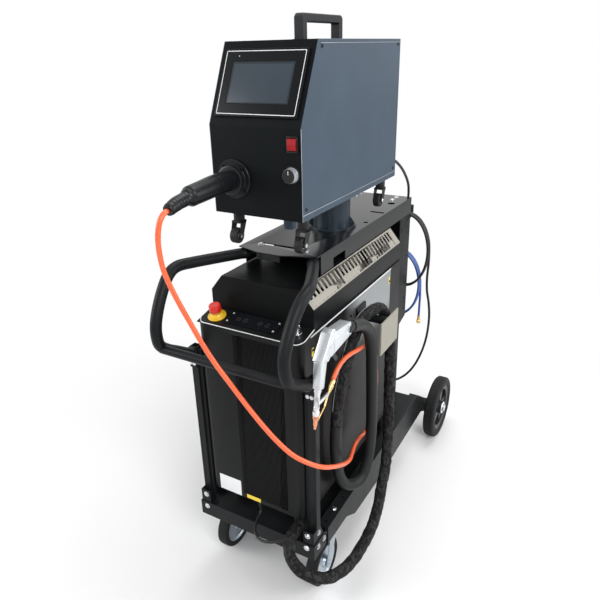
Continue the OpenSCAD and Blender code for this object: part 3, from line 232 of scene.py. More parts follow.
def finish_of(name, colour, rough=0.5, metal=0.0, coat=0.0, grain=900, tone=0.10, dust=0.02,
              bump=0.15, depth=0.0002, shine=0.5):
    """A material with the worked surface on it; shine is its specular level, depth is in m."""
    m = bpy.data.materials.new(name)
    m.use_nodes = True
    t = m.node_tree
    skin = t.nodes["Principled BSDF"]
    for label, value in (("Metallic", metal), ("Coat Weight", coat), ("Coat Roughness", 0.12),
                         ("Specular IOR Level", shine)):
        skin.inputs[label].default_value = value
    g = shader(t, "Group")
    g.node_tree = worked_surface
    for label, value in (("Colour", (*colour, 1)), ("Roughness", rough),
                         ("Grain per metre", grain), ("Tone change", tone), ("Dust", dust)):
        g.inputs[label].default_value = value
    b = shader(t, "Bump", Strength=bump, Distance=depth)
    link(t, g.outputs["Colour"], skin.inputs["Base Color"])
    link(t, g.outputs["Roughness"], skin.inputs["Roughness"])
    link(t, g.outputs["Height"], b.inputs["Height"])
    link(t, b.outputs["Normal"], skin.inputs["Normal"])
    return m


def base_colour(tree):
    """The socket that feeds a material's colour."""
    skin = tree.nodes["Principled BSDF"]
    return next(l.from_socket for l in tree.links if l.to_socket == skin.inputs["Base Color"])


def sleeve_cloth(name, colour, rough, threads_round, threads_per_m, sheen_patches_per_m):
    """A woven cover that follows a tube's own length and girth, with a painted sheen: noise patches
    make its colour lighter and darker to stand for light on its wrinkles.
    """
    m = finish_of(name, colour, rough, tone=0.16, dust=0.0, bump=0.5, depth=0.0006, shine=0.16)
    t = m.node_tree
    uv = shader(t, "UVMap")
    uv.uv_map = "along"
    size = shader(t, "Mapping", Scale=(threads_round, threads_per_m, 1), Rotation=(0, 0, 0.6))
    weave = shader(t, "TexWave", Scale=1, Distortion=1.2)
    link(t, uv.outputs[0], size.inputs["Vector"])
    link(t, size.outputs[0], weave.inputs["Vector"])
    # Painted sheen: noise patches scale the cloth colour from about a third to over three times.
    sheen_noise = shader(t, "TexNoise", Scale=sheen_patches_per_m, Detail=2, Distortion=1.4)
    sheen_spread = shader(t, "MapRange", From_Min=0.44, From_Max=0.62, To_Min=0.35, To_Max=3.4)
    lit = shader(t, "VectorMath", "SCALE")
    link(t, shader(t, "TexCoord").outputs["Object"], sheen_noise.inputs["Vector"])
    link(t, sheen_noise.outputs[0], sheen_spread.inputs["Value"])
    link(t, base_colour(t), lit.inputs[0])
    link(t, sheen_spread.outputs[0], lit.inputs["Scale"])
    link(t, lit.outputs[0], t.nodes["Principled BSDF"].inputs["Base Color"])
    b = next(x for x in t.nodes if x.bl_idname == "ShaderNodeBump")
    link(t, weave.outputs["Fac"], b.inputs["Height"])
    return m


hose_route = mm([(138, -470, 281), (138, -508, 281), (142, -540, 274), (160, -568, 258),
    (190, -578, 240), (225, -572, 224), (258, -545, 210), (280, -500, 202), (289, -445, 196),
    (290, -385, 194), (290, -335, 198), (286, -285, 208), (278, -240, 226), (270, -195, 256),
    (262, -150, 300), (253, -118, 350), (246, -100, 410), (241, -88, 480), (236, -78, 560),
    (231, -70, 640), (226, -70, 705), (222, -84, 760), (217, -102, 796), (212, -118, 814),
    (208, -142, 820), (203, -172, 822), (197, -212, 814), (192, -246, 785), (188, -276, 740),
    (187, -308, 685), (187, -336, 620), (188, -350, 550), (188, -354, 480), (188, -346, 415),
    (190, -328, 355), (196, -298, 308), (206, -258, 284), (216, -226, 292), (222, -206, 330),
    (225, -194, 385), (226, -190, 450), (226, -191, 520), (226, -195, 590), (226, -200, 660),
    (226, -206, 725), (225, -222, 780), (224, -250, 815), (223, -285, 836), (222, -316, 846.4),
    (222, -340, 856)])
hose_step, cord_step = 0.0042, 0.008
hose_line = smooth_route(hose_route, hose_step)


def cloth_folds(run, a):
    """How far the sleeve's cloth stands out or in at a length and an angle of the hose."""
    around = Vector((math.cos(a), math.sin(a), 0))
    if run > sleeve_end:
        uneven = noise.noise(around + Vector((0, 0, run * 9)))
        return 1 + 0.006 * math.sin(run * 900) + 0.015 * uneven
    bunch = noise.noise(around * 1.1 + Vector((0, 0, run * 30)))
    fold = noise.noise(around * 2.2 + Vector((3, 1, run * 62 + a * 0.5)))
    crease = max(0, 1 - abs(noise.noise(around * 1.9 + Vector((7, 5, run * 52)))) * 4.5)
    return 0.985 + 0.10 * bunch + 0.13 * fold - 0.13 * crease ** 2


def piping(line, stop, radius, turn):
    """A thin cord sewn along the sleeve's outer side, wandering a little with the cloth."""
    out, run, side = [], 0.0, None
    for i, p in enumerate(line[:-1]):
        d = (line[i + 1] - line[max(i - 1, 0)]).normalized()
        side = d.cross(Vector((0, 0, 1))) if side is None else side
        side = (side - d * side.dot(d)).normalized()
        run += (p - line[max(i - 1, 0)]).length
        if run > stop:
            break
        a = turn + 0.35 * noise.noise(Vector((run * 6, 2.7, 0)))
        if i % 3 == 0:
            out.append(p + (side * math.cos(a) + side.cross(d) * math.sin(a)) * radius)
    return out


# The sleeve's cloth carries a painted sheen in patches, about 58 to the metre.
hose_cloth = sleeve_cloth("wrinkled_hose_cloth", (0.0085, 0.0085, 0.009), 0.50, 60, 420, 58)
hose_rubber = finish_of("smooth_hose_rubber", (0.012, 0.013, 0.013), 0.44, tone=0.25, dust=0.03,
                        shine=0.22)
mesh = tube_mesh("umbilical", hose_line, sleeve_radius, hose_sides, cloth_folds)
hose = new_object("umbilical", mesh, "trolley", hose_cloth, hose_rubber)
run = 0.0
for i, (a, b) in enumerate(zip(hose_line, hose_line[1:])):
    run += (b - a).length
    if run > sleeve_end:
        for f in mesh.polygons[i * hose_sides:(i + 1) * hose_sides]:
            f.material_index = 1
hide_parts("umbilical_hose")
seam_cord = finish_of("sleeve_piping", (0.22, 0.22, 0.225), 0.6, tone=0.25, dust=0.05, shine=0.2)
seam_line = piping(hose_line, piping_end, sleeve_radius, piping_turn)
seam = new_object("sleeve_piping", tube_mesh("sleeve_piping", seam_line, piping_radius, 8),
                  "trolley", seam_cord)

# ---- Wire liner ----
# A stiff orange plastic liner brings the welding wire from the feeder's boot round the front to
# the guide on the torch.
liner_route = mm([(-45, -662.3, 1199.9), (-45, -676, 1196), (-48, -688, 1178), (-57, -688, 1138),
    (-64, -678, 1085), (-60, -668, 1040), (-46, -658, 990), (-28, -648, 940), (-4, -642, 890),
    (24, -636, 842), (55, -628, 795), (92, -622, 745), (128, -616, 700), (162, -608, 660),
    (196, -596, 625), (226, -572, 595), (244, -536, 565), (250, -490, 535), (246, -440, 502),
    (238, -390, 470), (226, -340, 443), (210, -290, 424), (196, -240, 412), (190, -195, 404),
    (196, -155, 412), (202, -130, 445), (204, -115, 500), (203, -107, 570), (201, -113, 628),
    (199, -136, 680), (198, -168, 708), (200.5, -203, 728), (207, -235, 741), (215, -264, 753),
    (220, -295, 764), (220, -330, 772), (219, -362, 775), (220, -392, 774), (221, -413, 769),
    (222, -427, 762.7), (222, -439, 752)])
liner_line = smooth_route(liner_route, cord_step)
orange_plastic = finish_of("orange_liner_plastic", (0.86, 0.125, 0.035), 0.36, tone=0.05,
                           dust=0.03, coat=0.2, grain=400)
liner = new_object("wire_liner", tube_mesh("wire_liner", liner_line, 0.0059, 16), None,
                   orange_plastic)
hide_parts("orange_liner")
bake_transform(liner)

# ---- Feeder lead ----
# A thin black jacketed cable hangs from the feeder's rear, lies in a flat coil behind the column
# and runs down to the laser unit's rear.
loop_n, lead_pitch, thin_cord = 24, 10, 0.0088


def coil(centre, wide, high, start, count):
    """Points of a flat hanging coil in mm, one every 360 / loop_n degrees, clockwise."""
    x, y, z = centre
    turns = [math.radians(start - 360 / loop_n * i) for i in range(count)]
    return [(x + wide * math.cos(a), y + lead_pitch * i / loop_n, z + high * math.sin(a))
            for i, a in enumerate(turns)]


lead_route = mm([(112, 145.3, 1180), (112, 173, 1180), (114, 225, 1162), (112, 300, 1120),
    (104, 378, 1060), (98, 403, 1000)]
    + coil((93, 408, 808), 86, 138, 90, 55)
    + [(179, 433, 760), (177, 434, 705), (180, 434, 655), (190, 434, 605), (196, 433, 545),
       (192, 430, 465), (176, 425, 390), (150, 415, 325), (118, 395, 285), (80, 360, 272),
       (45, 310, 284), (25, 260, 318), (18, 215, 346), (18, 182.3, 346)])
lead_line = smooth_route(lead_route, cord_step)
lead_jacket = finish_of("black_lead_jacket", (0.010, 0.010, 0.011), 0.42, tone=0.12, dust=0.02,
                        shine=0.3)
lead = new_object("coiled_lead", tube_mesh("coiled_lead", lead_line, thin_cord / 2, 12), None,
                  lead_jacket)
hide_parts("feeder_lead")
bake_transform(lead)

# ---- Gas hose ----
# A blue plastic hose from the laser unit's rear, coiled behind the column, with a turned brass
# fitting on its free end.
blue_route = mm([(-60, 182.3, 420), (-60, 215, 420), (-59, 270, 436), (-52, 330, 476),
    (-42, 392, 520), (-32, 428, 575)]
    + coil((60, 442, 660), 82, 130, 190, 61)
    + [(144, 468, 620), (144, 468, 560), (144, 468, 520)])
blue_line = smooth_route(blue_route, cord_step)
blue_tube = finish_of("blue_gas_hose", (0.020, 0.075, 0.30), 0.34, tone=0.08, dust=0.05,
                      coat=0.25)
brass_metal = finish_of("turned_brass", (0.72, 0.50, 0.22), 0.26, 1.0, grain=300, tone=0.12,
                        dust=0)
gas = new_object("gas_hose", tube_mesh("gas_hose", blue_line, thin_cord / 2, 12), "trolley",
                 blue_tube)
bm = bmesh.new()
for r, r2, z0, z1, n in ((6, 6, 512, 530, 24), (8.4, 8.4, 500, 512.5, 6),
                         (7.6, 7.2, 498.6, 500, 24)):
    bmesh.ops.create_cone(bm, cap_ends=True, segments=n, radius1=r2 / 1000, radius2=r / 1000,
                          depth=(z1 - z0) / 1000,
                          matrix=Matrix.Translation(mm([(144, 468, (z0 + z1) / 2)])[0]))
gas_fitting = new_object("gas_fitting", mesh_of(bm, "gas_fitting"), "trolley", brass_metal)
bevel = gas_fitting.modifiers.new("chamfer", "BEVEL")
bevel.width, bevel.segments = 0.0006, 2
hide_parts("blue_hose")

# ---- Signal cable ----
# A short black jacketed cable that comes out of a gland under the laser unit's front and bends
# back up beside the block that the umbilical leaves.
signal_route = mm([(0, -464, 272), (0, -464, 262), (1, -472, 253), (4, -488, 250), (10, -508, 249),
    (20, -528, 247), (38, -544, 245), (62, -550, 247), (88, -548, 254), (110, -538, 262),
    (121, -530, 268)])
signal_line = smooth_route(signal_route, 0.005)
signal = new_object("signal_cable", tube_mesh("signal_cable", signal_line, 0.0039, 12),
                    "trolley", lead_jacket)
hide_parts("signal_cable")

# ---- Trolley: folded pan, side rails, posts, rear column, top plate ----
# Laser-cut and folded 3 mm sheet, welded, then powder coated black with a fine texture;
# the cut edges are lightly rounded by the coat.
body_of_node = {n: b for b, ns in frame["record"]["behaviour"]["bodies"].items() for n in ns}
weld_gap = 2e-5


def crisp(node, material, width=0.0008, segments=2, angle=32, others=(), pick=None):
    """A merged copy of a CAD node with its sharp edges rounded, standing for that node."""
    bm = bmesh.new()
    bm.from_mesh(frame["nodes"][node].data)
    bmesh.ops.remove_doubles(bm, verts=bm.verts, dist=weld_gap)
    bmesh.ops.dissolve_limit(bm, angle_limit=math.radians(1), verts=bm.verts, edges=bm.edges)
    for f in bm.faces:
        f.material_index = pick(f.calc_center_median() * 1000, f.normal) if pick else 0
    obj = new_object(node + "_made", mesh_of(bm, node + "_made", angle), body_of_node[node],
                     material, *others)
    edge = obj.modifiers.new("rounded_edges", "BEVEL")
    edge.width, edge.segments, edge.limit_method = width, segments, "ANGLE"
    edge.angle_limit = math.radians(angle)
    edge.use_clamp_overlap, edge.miter_outer = True, "MITER_ARC"
    edge.harden_normals = True
    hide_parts(node)
    return obj


powder_black = finish_of("black_powder_coat", (0.0085, 0.0095, 0.0105), 0.42, grain=1400,
                         tone=0.14, dust=0.012, bump=0.30, depth=0.0003, shine=0.13)
for node in ("base_pan", "chassis_frame", "front_posts", "rear_column"):
    crisp(node, powder_black, 0.0009)
plate_gloss = finish_of("glossy_top_plate", (0.0070, 0.0080, 0.0090), 0.20, grain=1400,
                        tone=0.12, dust=0.006, bump=0.12, shine=0.28)
crisp("top_plate", plate_gloss, 0.0009)

# ---- Handle: two bent tube loops and a crossbar ----
# 30 mm steel tube bent in six places on each side and welded to a foot under the top plate and
# a bolted tab on each post, with a straight tube between the loops for pushing.
loop_tube, bar_tube = 0.0149, 0.0119
loop_route = mm([(96, -268, 994), (99, -302, 994), (104, -320, 994), (116, -338, 995),
    (173, -458, 1001), (188, -500, 1001), (189, -530, 990), (187, -556, 965), (185, -583, 925),
    (184, -600, 885), (185, -602, 850), (186, -594, 822), (184, -572, 801), (181, -540, 781),
    (179, -510, 762), (178, -485.5, 748)])


def joined(name, body, parts, materials):
    """One object from several meshes, each with its own material slot."""
    bm = bmesh.new()
    for i, part in enumerate(parts):
        start = len(bm.faces)
        bm.from_mesh(part)
        bm.faces.ensure_lookup_table()
        for f in bm.faces[start:]:
            f.material_index = min(i, len(materials) - 1)
    return new_object(name, mesh_of(bm, name), body, *materials)


def box_mesh(low, high, round_edges=0.001):
    """A block between two corners in mm, its edges rounded by the given metres."""
    bm = bmesh.new()
    low, high = Vector(low) / 1000, Vector(high) / 1000
    bmesh.ops.create_cube(bm, size=1, matrix=Matrix.Translation((low + high) / 2)
                          @ Matrix.Diagonal((*(high - low), 1)))
    if round_edges:
        bmesh.ops.bevel(bm, geom=bm.edges[:], offset=round_edges, segments=3, profile=0.5,
                        affect="EDGES", clamp_overlap=True)
    return mesh_of(bm, "block", 35)


fine_loop = smooth_route(loop_route, 0.006)
parts = []
for s in (1, -1):
    loop = [Vector((s * p.x, p.y, p.z)) for p in fine_loop]
    parts.append(tube_mesh("loop", loop, loop_tube, 28))
    low, high = sorted((s * 81, s * 111))
    parts.append(box_mesh((low, -314, 1006), (high, -256, 1012)))
    low, high = sorted((s * 171, s * 193))
    parts.append(box_mesh((low, -485.4, 703), (high, -479.4, 765), 0.0015))
bar_line = [Vector((x / 1000, -0.592, 0.812)) for x in range(-183, 184, 6)]
parts.append(tube_mesh("crossbar", bar_line, bar_tube, 28))
handle = joined("push_handle", "trolley", parts, [powder_black])
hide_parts("handle_frame")

# ---- Bolts of the trolley ----
# Zinc-plated hex head screws with flanged heads that hold posts, pan and rails together.
zinc_plate = finish_of("zinc_plate", (0.66, 0.67, 0.69), 0.26, 1.0, grain=500, tone=0.18, dust=0.03)


def lathe_mesh(profile, centre, along, segments=48):
    """A turned shape: profile is (distance along the axis, radius) in mm."""
    along = Vector(along).normalized()
    side = along.orthogonal().normalized()
    up = along.cross(side)
    centre = Vector(centre) / 1000
    bm = bmesh.new()
    rings = []
    for z, r in profile:
        p = centre + along * z / 1000
        rings.append([bm.verts.new(p)] if r <= 0 else [bm.verts.new(
            p + (side * math.cos(a) + up * math.sin(a)) * r / 1000) for a in angles(segments)])
    for a, b in zip(rings, rings[1:]):
        for k in range(segments):
            j = (k + 1) % segments
            corners = [a[k % len(a)], a[j % len(a)], b[j % len(b)], b[k % len(b)]]
            corners = [v for i, v in enumerate(corners) if v not in corners[:i]]
            if len(corners) > 2:
                bm.faces.new(corners)
    for ring in (rings[0], rings[-1]):
        if len(ring) > 1 and rings[0] is not rings[-1] and profile[0] != profile[-1]:
            bm.faces.new(ring)
    bmesh.ops.recalc_face_normals(bm, faces=bm.faces)
    return mesh_of(bm, "turned", 32)


def placed(name, shape, spots, material, body):
    """Copies of one shape set on points by a geometry node tree; spots are (point, turn)."""
    tree = bpy.data.node_groups.new(name + "_tree", "GeometryNodeTree")
    face = tree.interface
    face.new_socket(name="Geometry", in_out="INPUT", socket_type="NodeSocketGeometry")
    face.new_socket(name="Shape", in_out="INPUT", socket_type="NodeSocketObject")
    size = face.new_socket(name="Size", in_out="INPUT", socket_type="NodeSocketFloat")
    size.default_value = 1.0
    face.new_socket(name="Geometry", in_out="OUTPUT", socket_type="NodeSocketGeometry")
    n = tree.nodes
    gin, gout = n.new("NodeGroupInput"), n.new("NodeGroupOutput")
    info, put = n.new("GeometryNodeObjectInfo"), n.new("GeometryNodeInstanceOnPoints")
    turned = n.new("GeometryNodeInputNamedAttribute")
    turned.data_type = "FLOAT_VECTOR"
    turned.inputs["Name"].default_value = "turn"
    real, paint = n.new("GeometryNodeRealizeInstances"), n.new("GeometryNodeSetMaterial")
    paint.inputs["Material"].default_value = material
    link(tree, gin.outputs["Geometry"], put.inputs["Points"])
    link(tree, gin.outputs["Shape"], info.inputs["Object"])
    link(tree, info.outputs["Geometry"], put.inputs["Instance"])
    link(tree, turned.outputs["Attribute"], put.inputs["Rotation"])
    link(tree, gin.outputs["Size"], put.inputs["Scale"])
    link(tree, put.outputs["Instances"], real.inputs["Geometry"])
    link(tree, real.outputs["Geometry"], paint.inputs["Geometry"])
    link(tree, paint.outputs["Geometry"], gout.inputs["Geometry"])
    base = bpy.data.meshes.new(name + "_points")
    base.from_pydata([Vector(p) / 1000 for p, _ in spots], [], [])
    turns = base.attributes.new("turn", "FLOAT_VECTOR", "POINT")
    for i, (_, t) in enumerate(spots):
        turns.data[i].vector = t
    unit, seed = in_scene(name + "_unit", shape), in_scene(name, base)
    mod = seed.modifiers.new("placed", "NODES")
    mod.node_group = tree
    mod[next(i.identifier for i in face.items_tree if i.name == "Shape")] = unit
    graph = bpy.context.evaluated_depsgraph_get()
    mesh = bpy.data.meshes.new_from_object(seed.evaluated_get(graph), depsgraph=graph)
    bpy.data.objects.remove(seed)
    bpy.data.objects.remove(unit)
    obj = new_object(name, mesh, body)
    return obj


def hex_head(r, h, washer):
    """A hex screw head with a chamfered top and a washer under it, along +Z."""
    thick = 1.4
    bm = bmesh.new()
    bmesh.ops.create_cone(bm, cap_ends=True, segments=6, radius1=r / 1000, radius2=r / 1000,
                          depth=h / 1000, matrix=Matrix.Translation((0, 0, h / 2000)))
    bmesh.ops.bevel(bm, geom=bm.edges[:], offset=0.0005, segments=2, affect="EDGES")
    bmesh.ops.create_cone(bm, cap_ends=True, segments=28, radius1=washer / 1000,
                          radius2=washer / 1000, depth=thick / 1000,
                          matrix=Matrix.Translation((0, 0, thick / 2000)))
    return mesh_of(bm, "hex_head")


quarter = math.pi / 2
facing = {"front": (quarter, 0, 0), "right": (0, quarter, 0), "left": (0, -quarter, 0),
          "up": (0, 0, 0)}
spots = []
for s, way in ((1, "right"), (-1, "left")):
    spots += [((s * 172, -500, 230), facing["front"]), ((s * 174, -497, 272), facing["front"]),
              ((s * 196, -478, 228), facing[way]), ((s * 196, -444, 228), facing[way]),
              ((s * 193, -470, 270), facing[way]), ((s * 70, -290, 1015), facing["up"]),
              ((s * 70, 320, 1015), facing["up"]), ((s * 70, 360, 1015), facing["up"]),
              ((s * 182, -349, 250), facing["up"]), ((s * 182, -74, 250), facing["up"]),
              ((s * 80, 302, 254), facing["up"]), ((s * 80, 318, 254), facing["up"])]
bolts = placed("trolley_screws", hex_head(6.4, 4.0, 8.6), spots, zinc_plate, "trolley")
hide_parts("trolley_bolts")
spots = [((s * x, -485.4, 717), facing["front"]) for s in (1, -1) for x in (176.2, 187.8)]
placed("handle_tab_screws", hex_head(4.6, 3.6, 5.4), spots, zinc_plate, "trolley")

# ---- Black shade strips beside the front posts ----
# A black strip in the gap between each front post and the laser unit's side, over the post's
# whole height, is a dark sheet standing for painted shade seen through that gap.
gap_shade_black = finish_of("post_gap_shade", (0.010, 0.010, 0.011), 0.6, tone=0.1, dust=0.0,
                         shine=0.1)
strips = []
for s in (1, -1):
    low, high = sorted((s * 159.4, s * 171))
    strips.append(box_mesh((low, -474, 262), (high, -460, 756), 0.0015))
strips = joined("post_edge_strips", "trolley", strips, [gap_shade_black])

# ---- Rear wheels ----
# Solid rubber tyres with a shallow rib tread on pressed hubs, free on a fixed steel axle
# with a cap at each end.
wheel_x, axle_y, axle_z, tread_r = 240, 492, 125, 123.2
tyre_rubber = finish_of("tyre_rubber", (0.012, 0.012, 0.013), 0.62, grain=700, tone=0.25,
                        dust=0.03, bump=0.35, depth=0.0005, shine=0.14)
hub_paint = finish_of("hub_enamel", (0.020, 0.021, 0.023), 0.34, grain=900, tone=0.1, dust=0.03,
                      shine=0.35)
steel_bar = finish_of("bright_steel", (0.60, 0.61, 0.63), 0.24, 1.0, grain=260, tone=0.15,
                      dust=0.02)
for name, s in (("left", -1), ("right", 1)):
    tread = [(-19, 91), (-21.5, 96), (-22, 112), (-20.5, 119), (-17, tread_r)]
    for z in (-12.5, -4.5, 4.5, 12.5):
        tread += [(z - 1.6, 124.9), (z - 1.0, tread_r), (z + 1.0, tread_r), (z + 1.6, 124.9)]
    tread += [(17, tread_r), (20.5, 119), (22, 112), (21.5, 96), (19, 91), (-19, 91)]
    mesh = lathe_mesh(tread, (s * wheel_x, axle_y, axle_z), (1, 0, 0), 72)
    tyre = new_object(name + "_tyre_made", mesh, name + "_wheel", tyre_rubber)
    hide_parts(name + "_tyre")
    crisp(name + "_hub", hub_paint, 0.0016, 3)
    mesh = lathe_mesh([(0, 11), (0, 24), (1.2, 25), (2.5, 24), (3, 20), (3.4, 14.5), (3.6, 11),
                       (0, 11)], (s * (wheel_x + 22.05), axle_y, axle_z), (s, 0, 0), 40)
    cap = new_object(name + "_hub_ring", mesh, name + "_wheel", zinc_plate)
crisp("axle", steel_bar, 0.0012, 3)

# ---- Front casters ----
# Zinc-plated pressed forks turning on a ball race under the pan, each with a rubber-tyred
# wheel whose plated discs show between the legs.
caster_x, caster_y, caster_r = 160, -390, 75
fork_zinc = finish_of("blue_zinc", (0.50, 0.56, 0.62), 0.30, 1.0, grain=420, tone=0.22,
                      dust=0.06)
crisp("caster_plates", zinc_plate, 0.0006)
for name, s in (("left", -1), ("right", 1)):
    crisp(name + "_caster_fork", fork_zinc, 0.0012, 3)
    hub = (s * caster_x, caster_y, caster_r)
    ring = [(-16, 57.5), (-17.5, 60), (-18, 70), (-15, 74), (-8, 75), (8, 75), (15, 74), (18, 70),
            (17.5, 60), (16, 57.5), (-16, 57.5)]
    disc = [(-21, 6.3), (-21, 13), (-19.5, 17.5), (-12, 20), (-10.5, 34), (-11.5, 50), (-14.5, 54),
            (-15, 57.4), (15, 57.4), (14.5, 54), (11.5, 50), (10.5, 34), (12, 20), (19.5, 17.5),
            (21, 13), (21, 6.3), (-21, 6.3)]
    wheel = joined(name + "_caster_roller", name + "_caster_roller",
                   [lathe_mesh(ring, hub, (1, 0, 0), 72), lathe_mesh(disc, hub, (1, 0, 0), 56)],
                   [tyre_rubber, fork_zinc])
    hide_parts(name + "_caster_wheel")

# ---- Laser unit: case, side sheets, ribbed front ----
# A sheet-steel cabinet in charcoal: a folded case, screwed side sheets with a smooth sheen and a
# painted reflection towards their upper rear, and a moulded front with a band of fine upright ribs.
case_coat = finish_of("charcoal_coat", (0.0048, 0.0053, 0.0058), 0.34, grain=1600, tone=0.10,
                      dust=0.004, shine=0.10)
side_coat = finish_of("smooth_side_sheet", (0.0065, 0.0062, 0.0065), 0.34, grain=700, tone=0.12,
                      dust=0.0, shine=0.10)


def painted_reflection_zone(material, bright):
    """A painted reflection: the colour turns bright and metallic towards the sheet's upper rear."""
    tree = material.node_tree
    skin = tree.nodes["Principled BSDF"]
    plain, place = base_colour(tree), shader(tree, "SeparateXYZ")
    link(tree, shader(tree, "TexCoord").outputs["Object"], place.inputs[0])
    ramps = []
    for axis, start, end in (("Y", -0.25, -0.13), ("Z", 0.68, 0.76)):
        ramp = shader(tree, "MapRange", From_Min=start, From_Max=end)
        ramp.interpolation_type = "SMOOTHSTEP"
        link(tree, place.outputs[axis], ramp.inputs["Value"])
        ramps.append(ramp.outputs[0])
    zone = reckoned(tree, "MULTIPLY", *ramps)
    mix = shader(tree, "Mix", "RGBA", B=(*bright, 1))
    link(tree, zone, mix.inputs["Factor"])
    link(tree, plain, mix.inputs["A"])
    link(tree, mix.outputs["Result"], skin.inputs["Base Color"])
    link(tree, zone, skin.inputs["Metallic"])


# Painted reflection: the side sheets' colour turns silver and metallic towards their upper rear.
painted_reflection_zone(side_coat, (0.36, 0.38, 0.39))
crisp("unit_case", case_coat, 0.0007)
crisp("side_panels", side_coat, 0.0007)
front_coat = finish_of("front_moulding", (0.0060, 0.0064, 0.0070), 0.36, grain=1500, tone=0.10,
                       dust=0.006, shine=0.15)
crisp("front_panel", front_coat, 0.0006, 2, 28)
rib_n, rib_pitch = 40, 3.75
rib_shape = box_mesh((-0.7, -0.55, -260), (0.7, 0.75, 252), 0.0004)
spots = [((-42.15 + rib_pitch * i, -480.1, 579), (0, 0, 0)) for i in range(rib_n)]
placed("front_ribs", rib_shape, spots, front_coat, "trolley")
label_stock = finish_of("blank_label", (0.78, 0.79, 0.80), 0.40, grain=300, tone=0.04, dust=0.06)
tag_yellow = finish_of("yellow_tag", (0.80, 0.58, 0.04), 0.42, grain=300, tone=0.06, dust=0.05)
label = new_object("rating_label", box_mesh((-129, -480.5, 303.5), (-54, -479.9, 357), 0.0002),
                   "trolley", label_stock)
tags = [box_mesh((-35, -480.5, 305), (12, -479.9, 318), 0.0002)]
for y, z in ((-424, 806), (-424, 560), (-424, 330), (88, 815)):
    tags.append(box_mesh((157.9, y - 5, z - 12), (158.5, y + 5, z + 12), 0.0002))
tags = joined("service_tags", "trolley", tags, [tag_yellow])
spots = [((s * 158, y, z), facing[way]) for s, way in ((1, "right"), (-1, "left"))
         for y in (-424, -200, 90) for z in (314, 580, 812)]


def button_head(r, h):
    """A socket button head screw, along +Z, with a round recess in its top."""
    return lathe_mesh([(0, 0), (0, r), (h * 0.35, r), (h * 0.8, r * 0.78), (h, r * 0.48),
                       (h * 0.45, r * 0.42), (h * 0.45, 0)], (0, 0, 0), (0, 0, 1), 24)


black_screw = finish_of("black_oxide_screw", (0.03, 0.03, 0.032), 0.34, 0.9, tone=0.1)
placed("side_sheet_screws", button_head(4.2, 2.2), spots, black_screw, "trolley")

# ---- Console: sloping panel, painted edge highlight, display window ----
# The console sheet slopes up to the hood; a thin bright strip along its front and right edge is a
# painted highlight, and a glossy window with four corner screws covers the indicator board.
console_rise, console_run, console_front, console_z = 16, 70, -480, 847
slope = math.atan2(console_rise, console_run)


def on_console(x, s, n):
    """A point on the console in mm: across, up its slope, out of its face."""
    return Vector((x, console_front + s * math.cos(slope) - n * math.sin(slope),
                   console_z + s * math.sin(slope) + n * math.cos(slope)))


console_out = Vector((0, -math.sin(slope), math.cos(slope)))
crisp("console_panel", front_coat, 0.0006)
# Painted highlights: bright metal strips along the console's front and right edge and along the top
# of each side sheet.
edge_highlight_metal = finish_of("bright_edge_highlight", (0.78, 0.79, 0.80), 0.40, 0.25, grain=300, tone=0.06,
                       dust=0)
rim = [on_console(x, 0.8 + 18 * max(0, (abs(x) - 138) / 19.0) ** 2.2, 0.3)
       for x in range(-157, 158, 4)]
rim += [on_console(157, s, 0.3) for s in range(22, console_run + 1, 6)]
rim = [p / 1000 for p in rim]
trim = new_object("console_trim", tube_mesh("console_trim", rim, 0.0013, 10), "trolley", edge_highlight_metal)
ledge = joined("side_sheet_trim", "trolley", [
    box_mesh((157.6, -433, 849.2), (159.0, 100, 853.0), 0.0004),
    box_mesh((-159.0, -433, 849.2), (-157.6, 100, 853.0), 0.0004)], [edge_highlight_metal])
gloss_black = finish_of("gloss_black_window", (0.006, 0.007, 0.010), 0.12, tone=0.05, dust=0.01,
                        coat=0.25, bump=0.02, shine=0.25)
crisp("display_panel", gloss_black, 0.0012, 3)
silver_dot = finish_of("polished_screw", (0.80, 0.80, 0.82), 0.20, 1.0, tone=0.05, dust=0)
turn_up = (slope, 0, 0)
spots = [(on_console(x, s, 3.9), turn_up) for x in (-76, 64) for s in (26, 59)]
placed("window_screws", button_head(3.4, 1.2), spots, silver_dot, "trolley")
panel_keys = joined("window_keys", "trolley", [
    lathe_mesh([(0, 0), (0, 7.5), (0.5, 8), (1.0, 7.2), (1.0, 6.0), (0.6, 5.6), (0.6, 0)],
               on_console(x, 42, 2.9), console_out, 28) for x in (-50, -28, 16, 38)],
    [finish_of("membrane_key", (0.012, 0.013, 0.016), 0.30, tone=0.05, shine=0.25)])

# ---- Hood over the laser unit ----
# Folded sheet with a slatted air outlet along each upper edge; the chamfered strips and their
# fins are bare warm-grey metal, the rest is black.
slat_metal = finish_of("warm_grey_slats", (0.30, 0.285, 0.25), 0.55, 0.3, tone=0.02, dust=0)
crisp("hood", case_coat, 0.0006, 2, 30, [slat_metal],
      lambda p, n: 1 if abs(n.x) > 0.3 and n.z > 0.3 else 0)
chamfer_high, chamfer_wide = 44, 36
lean_out = math.atan2(chamfer_high, chamfer_wide)
fin_n, fin_pitch, fin_x, fin_y, fin_z = 27, 20.5, 136.3, -380.6, 935.4
for name, s in (("left", -1), ("right", 1)):
    low, high = sorted((s * -22, s * 5))
    fin = box_mesh((low, -2.6, -1.0), (high, 2.6, 2.2), 0.0006)
    spots = [((s * fin_x, fin_y + fin_pitch * i, fin_z), (0, s * lean_out, 0))
             for i in range(fin_n)]
    placed(name + "_slats", fin, spots, slat_metal, "trolley")
    low, high = sorted((s * 5, s * 24))
    band = box_mesh((low, -274, -0.6), (high, 274, 0.9), 0.0006)
    band.transform(Matrix.Translation(mm([(s * fin_x, -129.5, fin_z)])[0])
                   @ Matrix.Rotation(s * lean_out, 4, "Y"))
    band = new_object(name + "_slat_band", band, "trolley", slat_metal)

